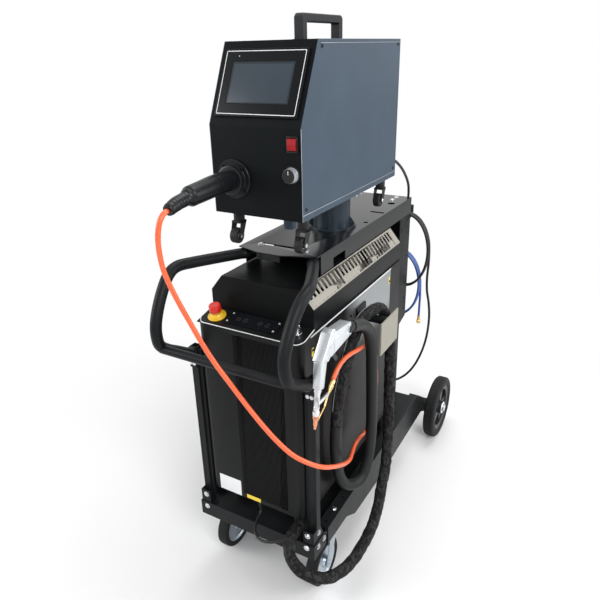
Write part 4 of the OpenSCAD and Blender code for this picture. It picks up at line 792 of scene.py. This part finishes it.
# ---- Emergency stop and key switch ----
# A red mushroom head on a yellow collar, pressed down and turned to release; beside the
# hood a plated key switch with its key in.
stop_at = on_console(-117, 37, 0)
stop_red = finish_of("stop_red", (0.66, 0.020, 0.012), 0.30, grain=400, tone=0.05, dust=0.01,
                     coat=0.15)
shiny_plate = finish_of("nickel_plate", (0.72, 0.72, 0.74), 0.16, 1.0, tone=0.08, dust=0)
stop_yellow = finish_of("stop_yellow", (0.80, 0.50, 0.02), 0.36, grain=400, tone=0.05,
                        dust=0.01, coat=0.1)
cap = lathe_mesh([(17.5, 0), (17.5, 12.5), (18.2, 15.4), (19.4, 16.3), (21, 16.5), (34.0, 16.1),
                  (36.2, 15.2), (37.5, 13.2), (38, 11), (37.4, 8.5), (37.2, 0)], stop_at,
                 console_out, 56)
stem = lathe_mesh([(-14, 0), (-14, 7.9), (17.6, 7.9), (17.6, 0)], stop_at, console_out, 40)
stop_head = joined("stop_head", "estop_button", [cap, stem], [stop_red, shiny_plate])
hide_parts("estop_cap")
mesh = lathe_mesh([(-28, 8.1), (-28, 10.7), (0, 10.7), (0, 24.2), (1.0, 25), (3.2, 25), (4.4, 23.8),
                   (5.2, 19.5), (10.8, 17.0), (12, 15.6), (12, 8.1), (-28, 8.1)], stop_at,
                  console_out, 56)
collar = new_object("stop_collar", mesh, "trolley", stop_yellow)
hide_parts("estop_base")
crisp("key_switch", shiny_plate, 0.0008, 3)
crisp("key", shiny_plate, 0.0003)

# ---- Hose hanger, cable glands ----
# A black arm out of the side sheet with a flat beige end plate that keeps the hose on it; under
# the unit's front, moulded glands let the cables out.
hanger_coat = finish_of("hanger_beige", (0.29, 0.275, 0.235), 0.45, 0.2, grain=900, tone=0.10,
                        dust=0.01, shine=0.3)
plate_starts = 245.5
crisp("hose_hanger", hanger_coat, 0.0008, 2, 32, [powder_black],
      lambda p, n: 1 if p.x < plate_starts else 0)
crisp("cable_glands", lead_jacket, 0.0010, 3)

# ---- Inside the laser unit, and its fan ----
# The laser source with its cooling fins, the power supply and the extractor fan; they only
# show through the louvres and the rear grille.
cast_grey = finish_of("cast_grey", (0.36, 0.37, 0.39), 0.45, 0.8, grain=700, tone=0.12, dust=0.1)
for node in ("laser_module", "power_supply"):
    crisp(node, cast_grey, 0.0015)
black_plastic = finish_of("moulded_black", (0.012, 0.012, 0.013), 0.44, grain=1300, tone=0.06,
                          dust=0.01, shine=0.28)
crisp("fan_rotor", black_plastic, 0.0004)

# ---- Pedestal under the wire feeder ----
# A turned and welded steel tube on a bolted flange, painted in the feeder's slate blue, drawn at
# under half its brightness as painted shade, with a slewing ring and a pin that the feeder turns
# on.
slate_coat = finish_of("slate_coat", (0.040, 0.062, 0.090), 0.40, grain=1300, tone=0.10,
                       dust=0.01, bump=0.22, depth=0.0003, shine=0.26)
# Painted shade: the feeder's slate coat darkened to under half, and glossier.
pedestal_shaded_coat = finish_of("pedestal_shaded_coat", (0.017, 0.028, 0.040), 0.26, grain=1300, tone=0.08,
                          dust=0.005, bump=0.12, shine=0.34)
crisp("pedestal", pedestal_shaded_coat, 0.0014, 3, 28)

# ---- Wire feeder: case, cover, door ----
# Folded sheet case with a sloping front; the right cover is screwed on, with painted highlights as
# thin bright strips along its folds, and the left side is a hinged door with a finger catch.
feeder_front = -428
for node in ("feeder_shell", "feeder_cover", "feeder_door"):
    crisp(node, slate_coat, 0.0010, 3)
front_satin = finish_of("textured_front", (0.0042, 0.0055, 0.0064), 0.46, grain=1500, tone=0.10,
                         dust=0.004, bump=0.3, depth=0.0003, shine=0.07)
crisp("feeder_front", front_satin, 0.0008, 2, 20)
# Painted highlights: thin light strips along the right cover's two folds and its front edge.
edge_highlight_paint = finish_of("bright_edge_line", (0.42, 0.44, 0.46), 0.34, 0.7, tone=0.08, dust=0.02)
parts = [box_mesh((140.1, -426.5, 1150.0), (140.9, 143.5, 1151.4), 0.0003),
         box_mesh((140.1, -334.0, 1508.2), (140.7, 143.5, 1509.2), 0.0002),
         box_mesh((139.6, -428.4, 1137), (140.6, -427.8, 1341), 0.0002)]
line = joined("feeder_edge_lines", "feeder", parts, [edge_highlight_paint])
screws = [((140.6, y, z), facing["right"]) for y, z in ((-330, 1503), (126, 1503),
                                                        (-412, 1163), (126, 1163))]
screws = placed("cover_screws", button_head(4.6, 2.3), screws, black_screw, "feeder")
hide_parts("feeder_screws")

# ---- Operator screen on the feeder's slope ----
# A 7-inch touch screen module: a black bezel with one thin light line near its edge, a dim
# glass with its active area, a small lamp, and a bare place where a name would stand.
slope_run, slope_high, slope_foot = 82, 175, (18, feeder_front, 1342)
lean_back = math.atan2(slope_run, slope_high)


def on_slope(x, y, z):
    """A point in mm from the slope's lower edge: across, out of it (negative), up it."""
    c, s = math.cos(lean_back), math.sin(lean_back)
    return Vector((x, y * c + z * s, z * c - y * s)) + Vector(slope_foot)


def slope_mesh(mesh):
    """Turns a mesh drawn upright in mm from the slope's lower edge onto the slope."""
    for v in mesh.vertices:
        v.co = on_slope(*(v.co * 1000)) / 1000
    return mesh


def bridge(bm, near, far):
    """Joins two rings of as many points by a band of faces."""
    for k in range(len(near)):
        j = (k + 1) % len(near)
        bm.faces.new((near[k], near[j], far[j], far[k]))


def frame_mesh(x0, x1, z0, z1, wide, y0, y1, corner):
    """A thin rounded picture frame in the slope's own coordinates."""
    def ring(inset, y):
        r = max(0.5, corner - inset)
        out = []
        for cx, cz, start in ((x1, z1, 0), (x0, z1, 90), (x0, z0, 180), (x1, z0, 270)):
            mx = cx - math.copysign(inset + r, cx - (x0 + x1) / 2)
            mz = cz - math.copysign(inset + r, cz - (z0 + z1) / 2)
            for k in range(7):
                a = math.radians(start + 15 * k)
                out.append(Vector((mx + r * math.cos(a), y, mz + r * math.sin(a))) / 1000)
        return out
    bm = bmesh.new()
    loops = [[bm.verts.new(p) for p in ring(i, y)] for i, y in
             ((0, y0), (0, y1), (wide, y1), (wide, y0))]
    for a, b in zip(loops, loops[1:] + loops[:1]):
        bridge(bm, a, b)
    bmesh.ops.recalc_face_normals(bm, faces=bm.faces)
    return slope_mesh(mesh_of(bm, "frame"))


bezel_black = finish_of("screen_bezel", (0.005, 0.006, 0.007), 0.42, tone=0.05, dust=0.004,
                        shine=0.10)
screen_glass = finish_of("screen_glass", (0.020, 0.027, 0.034), 0.34, tone=0.10, dust=0.0,
                         bump=0.0, shine=0.18)
active_glass = finish_of("active_area", (0.036, 0.048, 0.062), 0.36, tone=0.06, dust=0.0,
                         bump=0.0, shine=0.18)
outline_paint = finish_of("outline_print", (0.78, 0.79, 0.79), 0.45, tone=0.04, dust=0.0)
lamp_paint = finish_of("lamp_lens", (0.35, 0.55, 0.55), 0.2, tone=0.02, dust=0.0, coat=0.8)
slab = slope_mesh(box_mesh((-109, -6.0, 19), (109, 0, 173), 0.0013))
well = frame_mesh(-83.6, 83.6, 46.9, 145.1, 2.2, -6.3, -4.4, 3)
glass = slope_mesh(box_mesh((-82, -6.08, 48.5), (82, -4.9, 143.5), 0.0002))
active = slope_mesh(box_mesh((-77, -6.14, 52), (77, -5.9, 138), 0.0001))
print_line = frame_mesh(-104, 104, 24, 168, 1.6, -6.16, -5.8, 3)
lamp = lathe_mesh([(0, 0), (0, 1.5), (0.3, 1.3), (0.5, 0.8), (0.6, 0)], on_slope(-68, -5.9, 156),
                  on_slope(0, -1, 0) - on_slope(0, 0, 0), 20)
screen = joined("operator_screen", "feeder", [slab, well, glass, active, print_line, lamp],
                [bezel_black, bezel_black, screen_glass, active_glass, outline_paint, lamp_paint])
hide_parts("hmi_panel")

# ---- Rocker switch ----
# A red moulded rocker that tips on its pin in a black frame; the frame snaps into a cut-out in
# the feeder's front.
rocker_red = finish_of("rocker_red", (0.30, 0.006, 0.010), 0.30, tone=0.05, dust=0.0, coat=0.10,
                       shine=0.3)
crisp("rocker", rocker_red, 0.0008, 3)
rim_parts = []
for low, high in (((103.6, 1290.6), (106.2, 1325.4)), ((129.8, 1290.6), (132.4, 1325.4)),
                  ((103.6, 1290.6), (132.4, 1293.6)), ((103.6, 1322.4), (132.4, 1325.4))):
    rim_parts.append(box_mesh((low[0], -431.4, low[1]), (high[0], -427.9, high[1]), 0.0006))
rocker_rim = joined("rocker_rim", "feeder", rim_parts, [black_plastic])

# ---- Speed knob ----
# A turned aluminium knob with a fine knurl, a black face and a white pointer, over a black ring
# on the feeder's front that a nut holds from behind.
knob_x, knob_z, knurl_n, knurl_r, knurl_deep = 115, 1242, 120, 16.2, 0.35
knob_at = (knob_x, feeder_front, knob_z)
brushed = finish_of("brushed_aluminium", (0.47, 0.49, 0.52), 0.36, 0.6, grain=300, tone=0.05,
                    dust=0)
mark = finish_of("white_print", (0.80, 0.80, 0.78), 0.5, tone=0.02, dust=0)
skirt = lathe_mesh([(0.3, 2), (0.3, 16.6), (1.4, 17), (3.2, 17), (4.4, 15.2), (4.4, 2), (0.3, 2)],
                   knob_at, (0, -1, 0), 60)
bm = bmesh.new()
rings = []
for y, inset in ((-432.2, 0), (-444.6, 0.5)):
    reach = [knurl_r + knurl_deep * (1 if k % 4 < 2 else -1) - inset for k in range(knurl_n)]
    rings.append([bm.verts.new(Vector((knob_x + r * math.cos(a), y, knob_z + r * math.sin(a)))
                               / 1000) for r, a in zip(reach, angles(knurl_n))])
bridge(bm, *rings)
bm.faces.new(rings[1])
bm.faces.new(rings[0][::-1])
bmesh.ops.recalc_face_normals(bm, faces=bm.faces)
grip = mesh_of(bm, "knurled")
face_plate = lathe_mesh([(16.5, 0), (16.5, 15.4), (17.4, 15.4), (18.0, 14.6), (18.0, 0)],
                        knob_at, (0, -1, 0), 60)
crescent = lathe_mesh([(0.2, 16.8), (0.2, 19.4), (1.2, 19.8), (2.2, 19.0), (2.4, 17.2),
                       (2.2, 16.8), (0.2, 16.8)], knob_at, (0, -1, 0), 60)
pointer = box_mesh((114.3, -446.3, 1245), (115.7, -445.9, 1254), 0.0002)
knob = joined("speed_knob_made", "knob", [skirt, grip, face_plate, pointer],
              [brushed, brushed, black_plastic, mark])
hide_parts("speed_knob")
ring = new_object("knob_ring", crescent, "feeder", black_plastic)

# ---- Hose connector and boot ----
# A screwed black flange, a union nut with ribs to grip it by, and a ringed strain-relief boot
# that tapers on to the orange liner.
union_x, union_z, union_ribs = -42, 1221, 48
socket_black = finish_of("connector_black", (0.0065, 0.0075, 0.0085), 0.30, grain=1100,
                         tone=0.07, dust=0.004, shine=0.24)
flange = lathe_mesh([(0, 0), (0, 45), (0.8, 46), (4.6, 46), (5.8, 44.6), (5.8, 35.5), (6.6, 34.5),
                     (9, 34), (9.6, 33), (13.4, 33), (14.0, 34), (20.4, 34), (21.6, 32.6),
                     (22, 30), (22, 0)], (union_x, feeder_front, union_z), (0, -1, 0), 72)
socket = new_object("connector_flange", flange, "feeder", socket_black)
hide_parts("hose_socket")
ribs = [((union_x + 33.9 * math.cos(a), -445.2, union_z + 33.9 * math.sin(a)), (0, -a, 0))
        for a in angles(union_ribs)]
placed("union_nut_ribs", box_mesh((-0.8, -2.9, -0.9), (0.7, 2.9, 0.9), 0.0003), ribs,
       socket_black, "feeder")
spots = [((union_x + 39 * math.cos(a), -434, union_z + 39 * math.sin(a)), facing["front"])
         for a in (math.radians(45 + 90 * k) for k in range(4))]
placed("flange_screws", hex_head(4.4, 3.8, 5.2), spots, socket_black, "feeder")

boot_line = smooth_route(mm([(-42, -450, 1221), (-42, -500, 1221), (-44, -550, 1217),
    (-45, -590, 1214), (-45, -604, 1212), (-45, -634, 1208), (-45, -662, 1200)]), 0.0016)


def boot_radius(run):
    """Shoulder, smooth sleeve, a ringed cap and a thin tapering boot."""
    d = run * 1000
    for a, b, ra, rb in ((0, 4, 23.0, 24.0), (4, 60, 24.0, 24.3), (60, 104, 24.3, 23.4),
                         (104, 140, 23.4, 22.8), (140, 143, 22.8, 20.4), (143, 150, 20.4, 18.0),
                         (150, 153, 18.0, 15.8), (153, 190, 15.8, 15.2), (190, 209, 15.2, 13.6),
                         (209, 215, 13.6, 11.5)):
        if d <= b:
            r = ra + (rb - ra) * max(0, d - a) / (b - a)
            break
    else:
        r = 11.5
    if 18 < d < 56:
        r -= 0.7 * (0.5 + 0.5 * math.cos(2 * math.pi * d / 7.6)) ** 3
    if 156 < d < 205:
        r -= 0.8 * (0.5 + 0.5 * math.cos(2 * math.pi * d / 8.0)) ** 3
    return r / 1000


boot_coat = finish_of("boot_rubber", (0.0060, 0.0072, 0.0085), 0.32, grain=900, tone=0.10,
                      dust=0.004, shine=0.24)
boot = new_object("connector_boot", tube_mesh("connector_boot", boot_line, boot_radius, 48),
                  "feeder", boot_coat)
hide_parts("hose_sleeve")

# ---- Feeder's carrying handle ----
# A moulded bar handle with chamfered corners, screwed down over two feet.
feet_y = (-205, -10)
handle_grey = finish_of("handle_moulding", (0.012, 0.013, 0.015), 0.44, grain=1200, tone=0.08,
                        dust=0.02, shine=0.25)
crisp("feeder_handle", handle_grey, 0.0035, 4, 30)
feet = [box_mesh((2, y - 15, 1516.8), (34, y + 15, 1519.4), 0.0008) for y in feet_y]
feet = joined("handle_feet", "feeder", feet, [handle_grey])
spots = [((x, y + o, 1519.2), facing["up"]) for y, o in zip(feet_y, (-12.6, 12.6))
         for x in (10, 26)]
placed("handle_screws", button_head(2.6, 1.6), spots, black_screw, "feeder")

# ---- Inside the feeder: wire spool, motor, drive roll, pressure arm ----
# A wound spool of copper-coated wire on its hub, the geared feed motor behind the bulkhead
# and the grooved drive roll with its pressure arm.
reel_black = finish_of("reel_plastic", (0.015, 0.015, 0.016), 0.40, tone=0.08, dust=0.01,
                       shine=0.25)
wire_copper = finish_of("copper_wire", (0.78, 0.34, 0.17), 0.28, 1.0, grain=500, tone=0.10,
                        dust=0.0)
reel_x, reel_wide, wire_pitch, wound_r, crest_r, barrel_r = -60.0, 90, 1.5, 130, 131.3, 60
flange_t, bore_r = 4, 25.4
turns = [reel_x + 4.6 + wire_pitch * k for k in range(54)]
outer = [p for x in turns for p in ((x, wound_r), (x + wire_pitch / 2, crest_r))]
first, last = reel_x + 4.2, reel_x + 85.8
windings = [(first, barrel_r), (first, wound_r), *outer, (last, wound_r), (last, barrel_r),
            (first, barrel_r)]
flange_a = [(reel_x + d, r) for d, r in ((0, bore_r), (0, 147), (1, 148), (3.2, 148),
                                         (flange_t, 147), (flange_t, bore_r), (0, bore_r))]
flange_b = [(x + reel_wide - flange_t, r) for x, r in flange_a]
barrel = [(reel_x + d, r) for d, r in ((flange_t, bore_r), (flange_t, barrel_r), (86, barrel_r),
                                       (86, bore_r), (flange_t, bore_r))]
centre = (0, -15, 1326)
reel = joined("wire_reel", "spool", [lathe_mesh(p, centre, (1, 0, 0), 64) for p in (
    flange_a, flange_b, barrel, windings)], [reel_black, reel_black, reel_black, wire_copper])
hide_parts("wire_spool")
crisp("feed_motor", cast_grey, 0.0010, 3)
crisp("drive_roll", brass_metal, 0.0005)
crisp("pressure_arm", cast_grey, 0.0008)

# ---- Feeder casters ----
# Four small swivel casters so that the feeder can also be set down and rolled; zinc forks
# with dark wheels and plated axle nuts.
wheel_black = finish_of("caster_wheel_black", (0.014, 0.014, 0.015), 0.48, tone=0.12, dust=0.03,
                        shine=0.2)


def prism(outline, x0, x1):
    """A working mesh of a block with the outline (y, z in mm) between two x."""
    bm = bmesh.new()
    near, far = ([bm.verts.new(Vector((x, y, z)) / 1000) for y, z in outline] for x in (x0, x1))
    bm.faces.new(near)
    bm.faces.new(far[::-1])
    bridge(bm, near, far)
    bmesh.ops.recalc_face_normals(bm, faces=bm.faces)
    return bm


for i, (x, y) in enumerate(((-71, -380), (114, -380), (-75, 105), (110, 105)), 1):
    cy, cz = y - 14, 1070
    hub = (x, cy, cz)
    tyre = lathe_mesh([(-10, 9), (-10, 17.5), (-8.6, 19.6), (-6, 20), (6, 20), (8.6, 19.6),
                       (10, 17.5), (10, 9), (-10, 9)], hub, (1, 0, 0), 48)
    disc = lathe_mesh([(-11.6, 4.1), (-11.6, 6.5), (-9.4, 9.6), (-9.0, 14.2), (-9.9, 15.2),
                       (-9.9, 9), (9.9, 9), (9.9, 15.2), (9.0, 14.2), (9.4, 9.6), (11.6, 6.5),
                       (11.6, 4.1), (-11.6, 4.1)], hub, (1, 0, 0), 40)
    nuts = [lathe_mesh([(13.6, 0), (13.6, 5.6), (15.6, 5.6), (16.4, 4.4), (16.4, 0)], hub,
                       (s, 0, 0), 6) for s in (1, -1)]
    axle = lathe_mesh([(-15, 0), (-15, 3.6), (15, 3.6), (15, 0)], hub, (1, 0, 0), 20)
    outline = [(y - 14, 1106), (y + 12, 1106), (y + 10, 1100), (cy + 9, 1068), (cy + 6, 1062.5),
               (cy, 1060.5), (cy - 6, 1062.5), (cy - 9, 1068), (y - 14.5, 1098)]
    legs = []
    for s in (1, -1):
        low, high = sorted((s * 12.2, s * 14.0))
        bm = prism(outline, x + low, x + high)
        bmesh.ops.bevel(bm, geom=bm.edges[:], offset=0.0004, segments=2, affect="EDGES")
        legs.append(mesh_of(bm, "leg"))
    crown = box_mesh((x - 14, y - 14, 1100.4), (x + 14, y + 12, 1106.6), 0.0012)
    race = lathe_mesh([(1106, 0), (1106, 13), (1108, 14), (1126, 14), (1128.6, 12.6),
                       (1132.4, 12.4), (1132.4, 5.4), (1108, 5.4)], (x, y, 0), (0, 0, 1), 40)
    caster = joined("small_caster_%d" % i, "feeder_wheel_%d" % i,
                    [tyre, disc, axle, crown, race, *legs, *nuts],
                    [wheel_black, fork_zinc, fork_zinc] + [wheel_black] * 4 + [shiny_plate] * 2)
    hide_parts("feeder_caster_%d" % i)

# ---- Welding torch on the hanger ----
# A machined silver body in three blocks, bent at the head: a square grip with a rubber tail,
# a faceted head and a slimmer muzzle, with a slot milled up the middle, then a plated tube and a
# collar for the copper nozzle. The brass guide for the wire hangs under the grip.
torch_x = 222
torch_silver = finish_of("torch_silver", (0.66, 0.69, 0.72), 0.33, 0.85, grain=900, tone=0.16,
                         dust=0.0)
boot_rubber = finish_of("torch_boot", (0.010, 0.010, 0.011), 0.50, tone=0.12, dust=0.01,
                        shine=0.22)


def prism_mesh(outline, x0, x1, edge, segments):
    """A block with the given outline (y, z in mm) between two x, its edges rounded."""
    bm = prism(outline, x0, x1)
    bmesh.ops.bevel(bm, geom=bm.edges[:], offset=edge, segments=segments, profile=0.5,
                    affect="EDGES", clamp_overlap=True)
    return mesh_of(bm, "block", 35)


def milled(mesh, low, high):
    """The mesh with a box-shaped slot cut out of it."""
    block, cutter = in_scene("block", mesh), in_scene("cutter", box_mesh(low, high, 0))
    cut = block.modifiers.new("slot", "BOOLEAN")
    cut.operation, cut.solver, cut.object = "DIFFERENCE", "EXACT", cutter
    graph = bpy.context.evaluated_depsgraph_get()
    out = bpy.data.meshes.new_from_object(block.evaluated_get(graph), depsgraph=graph)
    bpy.data.objects.remove(block)
    bpy.data.objects.remove(cutter)
    return out


tail_line = smooth_route(mm([(torch_x, -340, 856), (torch_x, -350, 860), (torch_x, -360, 863),
                             (torch_x, -378, 866.5)]), 0.0012)


def tail_radius(run):
    """A rubber tail with three rings and a wide collar where it meets the grip."""
    d = run * 1000
    r = 14.4 + 4.2 * min(1, d / 24)
    if d < 26:
        r -= 0.7 * (0.5 + 0.5 * math.cos(2 * math.pi * d / 6.5)) ** 3
    return r / 1000


grip_side = [(-368, 850), (-478, 839), (-492, 846), (-478, 880), (-452, 893), (-370, 885)]
head_side = [(-448, 888), (-456, 903), (-474, 897), (-519, 842), (-490, 832), (-476, 842)]
muzzle_side = [(-519, 842), (-526, 772), (-506, 768), (-490, 832)]
plate_side = [(-404, 851), (-466, 845), (-460, 880), (-404, 877)]
slot = ((218.4, -486, 826), (225.6, -400, 874))
blocks = [milled(prism_mesh(grip_side, 206.1, 237.9, 0.0028, 4), *slot),
          milled(prism_mesh(head_side, 207.6, 236.4, 0.0024, 4), *slot),
          prism_mesh(muzzle_side, 211.5, 232.5, 0.0024, 3),
          prism_mesh(plate_side, 237.4, 238.9, 0.0005, 2),
          prism_mesh(plate_side, 205.1, 206.6, 0.0005, 2)]
cap_screw = [(-0.5, 0), (-0.5, 3.0), (0.9, 3.0), (1.5, 2.4), (1.5, 1.3), (0.5, 1.2), (0.5, 0)]
caps = [lathe_mesh(cap_screw, (torch_x + s * half, y, z), (s, 0, 0), 20)
        for half, y, z in ((15.8, -384, 856), (15.8, -384, 880), (14.3, -484, 868),
                           (14.3, -462, 889), (14.3, -508, 846), (10.5, -514, 784))
        for s in (1, -1)]
pin = lathe_mesh([(-4.2, 0), (-4.2, 2.4), (4.2, 2.4), (4.2, 0)], (torch_x, -478, 862),
                 (1, 0, 0), 20)
neck_top, neck_end = Vector((torch_x, -517, 782)), Vector((torch_x, -528, 714))
neck = lathe_mesh([(0, 0), (0, 8.4), (12.5, 8.4), (13.4, 9.4), (17, 9.4), (18, 8.0), (22, 7.9),
                   (23, 7.0), (56, 7.0), (57, 7.6), (61, 7.6), (62, 7.0), (66, 7.0), (67, 8.8),
                   (77, 8.8), (79, 8.0), (79, 0)], neck_top, neck_end - neck_top, 48)
torch = joined("torch_body_made", "trolley",
               [tube_mesh("tail", tail_line, tail_radius, 48), *blocks, *caps, pin, neck],
               [boot_rubber] + [torch_silver] * len(blocks) + [shiny_plate] * (len(caps) + 2))
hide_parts("torch_body")
crisp("torch_trigger", black_plastic, 0.0009, 3)
nozzle_copper = finish_of("nozzle_copper", (0.80, 0.36, 0.20), 0.24, 1.0, grain=300, tone=0.12,
                          dust=0)
tip = lathe_mesh([(0, 0), (0, 7.2), (1.2, 7.8), (8, 7.8), (9.2, 7.0), (12, 6.6), (14, 5.6),
                  (25, 5.0), (26, 3.8), (34, 3.4), (36, 2.6), (36, 1.2), (30, 1.0), (30, 0)],
                 (torch_x, -529, 704), (0, -0.19, -1), 40)
guide_parts = []
for a, b, profile in (
        ((-439, 752), (-466, 728), [(0, 0), (0, 6.2), (1.5, 7.0), (9, 7.0), (9.8, 6.0),
         (12, 6.0), (12.8, 7.0), (20, 7.0), (21, 6.2), (27, 5.8), (30, 4.6), (36, 4.0), (36, 0)]),
        ((-465, 729), (-484, 703), [(0, 0), (0, 2.5), (32, 2.5), (32, 0)]),
        ((-484, 703.5), (-521, 684), [(0, 0), (0, 2.2), (40, 1.9), (41.8, 1.2), (41.8, 0)])):
    start, end = Vector((torch_x, *a)), Vector((torch_x, *b))
    guide_parts.append(lathe_mesh(profile, start, end - start, 28))
guide_parts.append(box_mesh((torch_x - 3, -518.6, 725), (torch_x + 3, -462, 733), 0.0012))
nozzle = joined("nozzle_and_guide", "trolley", [tip] + guide_parts,
                [nozzle_copper, brass_metal, brass_metal, brass_metal, torch_silver])
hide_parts("torch_nozzle")

# ---- Floor ----
# A pale studio floor that keeps the machine's shadow. Away from the machine it turns white for
# the camera, so that no edge shows between the floor and the surround.
floor_half, fade_from, fade_to, machine_middle = 30, 0.75, 1.7, (0.05, -0.1)
floor_mesh = bpy.data.meshes.new("studio_floor")
corners = [(-1, -1), (1, -1), (1, 1), (-1, 1)]
floor_mesh.from_pydata([(x * floor_half, y * floor_half, 0) for x, y in corners], [],
                       [(0, 1, 2, 3)])
in_scene("studio_floor", floor_mesh)


def lit_where(tree, source, plain, bright, ray_kinds, share=None):
    """Shows the bright shader to the given kinds of ray and the plain one to the rest."""
    path, mix = shader(tree, "LightPath"), shader(tree, "MixShader")
    seen = path.outputs[ray_kinds[0]]
    for kind in ray_kinds[1:]:
        seen = reckoned(tree, "ADD", seen, path.outputs[kind], True)
    link(tree, reckoned(tree, "MULTIPLY", seen, share) if share else seen, mix.inputs["Fac"])
    link(tree, plain.outputs[0], mix.inputs[1])
    link(tree, bright.outputs[0], mix.inputs[2])
    link(tree, mix.outputs[0], source.inputs["Surface"])


pale = bpy.data.materials.new("pale_floor")
pale.use_nodes = True
tree = pale.node_tree
skin = tree.nodes["Principled BSDF"]
skin.inputs["Base Color"].default_value = (0.80, 0.80, 0.80, 1)
skin.inputs["Roughness"].default_value = 0.6
flat, reach = shader(tree, "VectorMath", "SUBTRACT"), shader(tree, "VectorMath", "LENGTH")
flat.inputs[1].default_value = (*machine_middle, 0)
fade = shader(tree, "MapRange", From_Min=fade_from, From_Max=fade_to)
fade.interpolation_type = "SMOOTHSTEP"
link(tree, shader(tree, "TexCoord").outputs["Object"], flat.inputs[0])
link(tree, flat.outputs[0], reach.inputs[0])
link(tree, reach.outputs["Value"], fade.inputs["Value"])
lit_where(tree, tree.nodes["Material Output"], skin, shader(tree, "Emission"),
          ("Is Camera Ray", "Is Transmission Ray"), fade.outputs[0])
floor_mesh.materials.append(pale)

# ---- Surround and studio light ----
# An even surround, white where the camera, gloss or glass sees it, and four soft boxes that
# light the machine at a plain level: (name, place, aim, watts, width, height).
world = bpy.data.worlds.new("studio_surround")
bpy.context.scene.world = world
world.use_nodes = True
tree = world.node_tree
tree.nodes.clear()
out = shader(tree, "OutputWorld")
surround_level = 0.42
soft = shader(tree, "Background", Color=(1, 1, 1, 1), Strength=surround_level)
white = shader(tree, "Background", Color=(1, 1, 1, 1), Strength=1.0)
lit_where(tree, out, soft, white, ("Is Glossy Ray", "Is Transmission Ray", "Is Camera Ray"))

for name, place, aim, power, wide, high in (
        ("key_box", (2.6, -2.2, 2.9), (0, 0, 0.8), 95, 1.6, 1.6),
        ("fill_box", (-2.7, -2.0, 1.8), (0, 0, 0.8), 60, 1.8, 1.8),
        ("top_box", (0.2, 0.8, 3.6), (0, 0, 0.9), 60, 2.0, 2.0),
        ("side_box", (2.9, 1.1, 1.6), (0.1, 0, 0.7), 45, 1.4, 1.8)):
    light = bpy.data.lights.new(name, "AREA")
    light.shape, light.size, light.size_y, light.energy = "RECTANGLE", wide, high, power
    lamp = in_scene(name, light)
    aim = (Vector(aim) - Vector(place)).to_track_quat("-Z", "Y")
    lamp.matrix_world = Matrix.Translation(place) @ aim.to_matrix().to_4x4()
bpy.context.scene.view_settings.view_transform = "Standard"
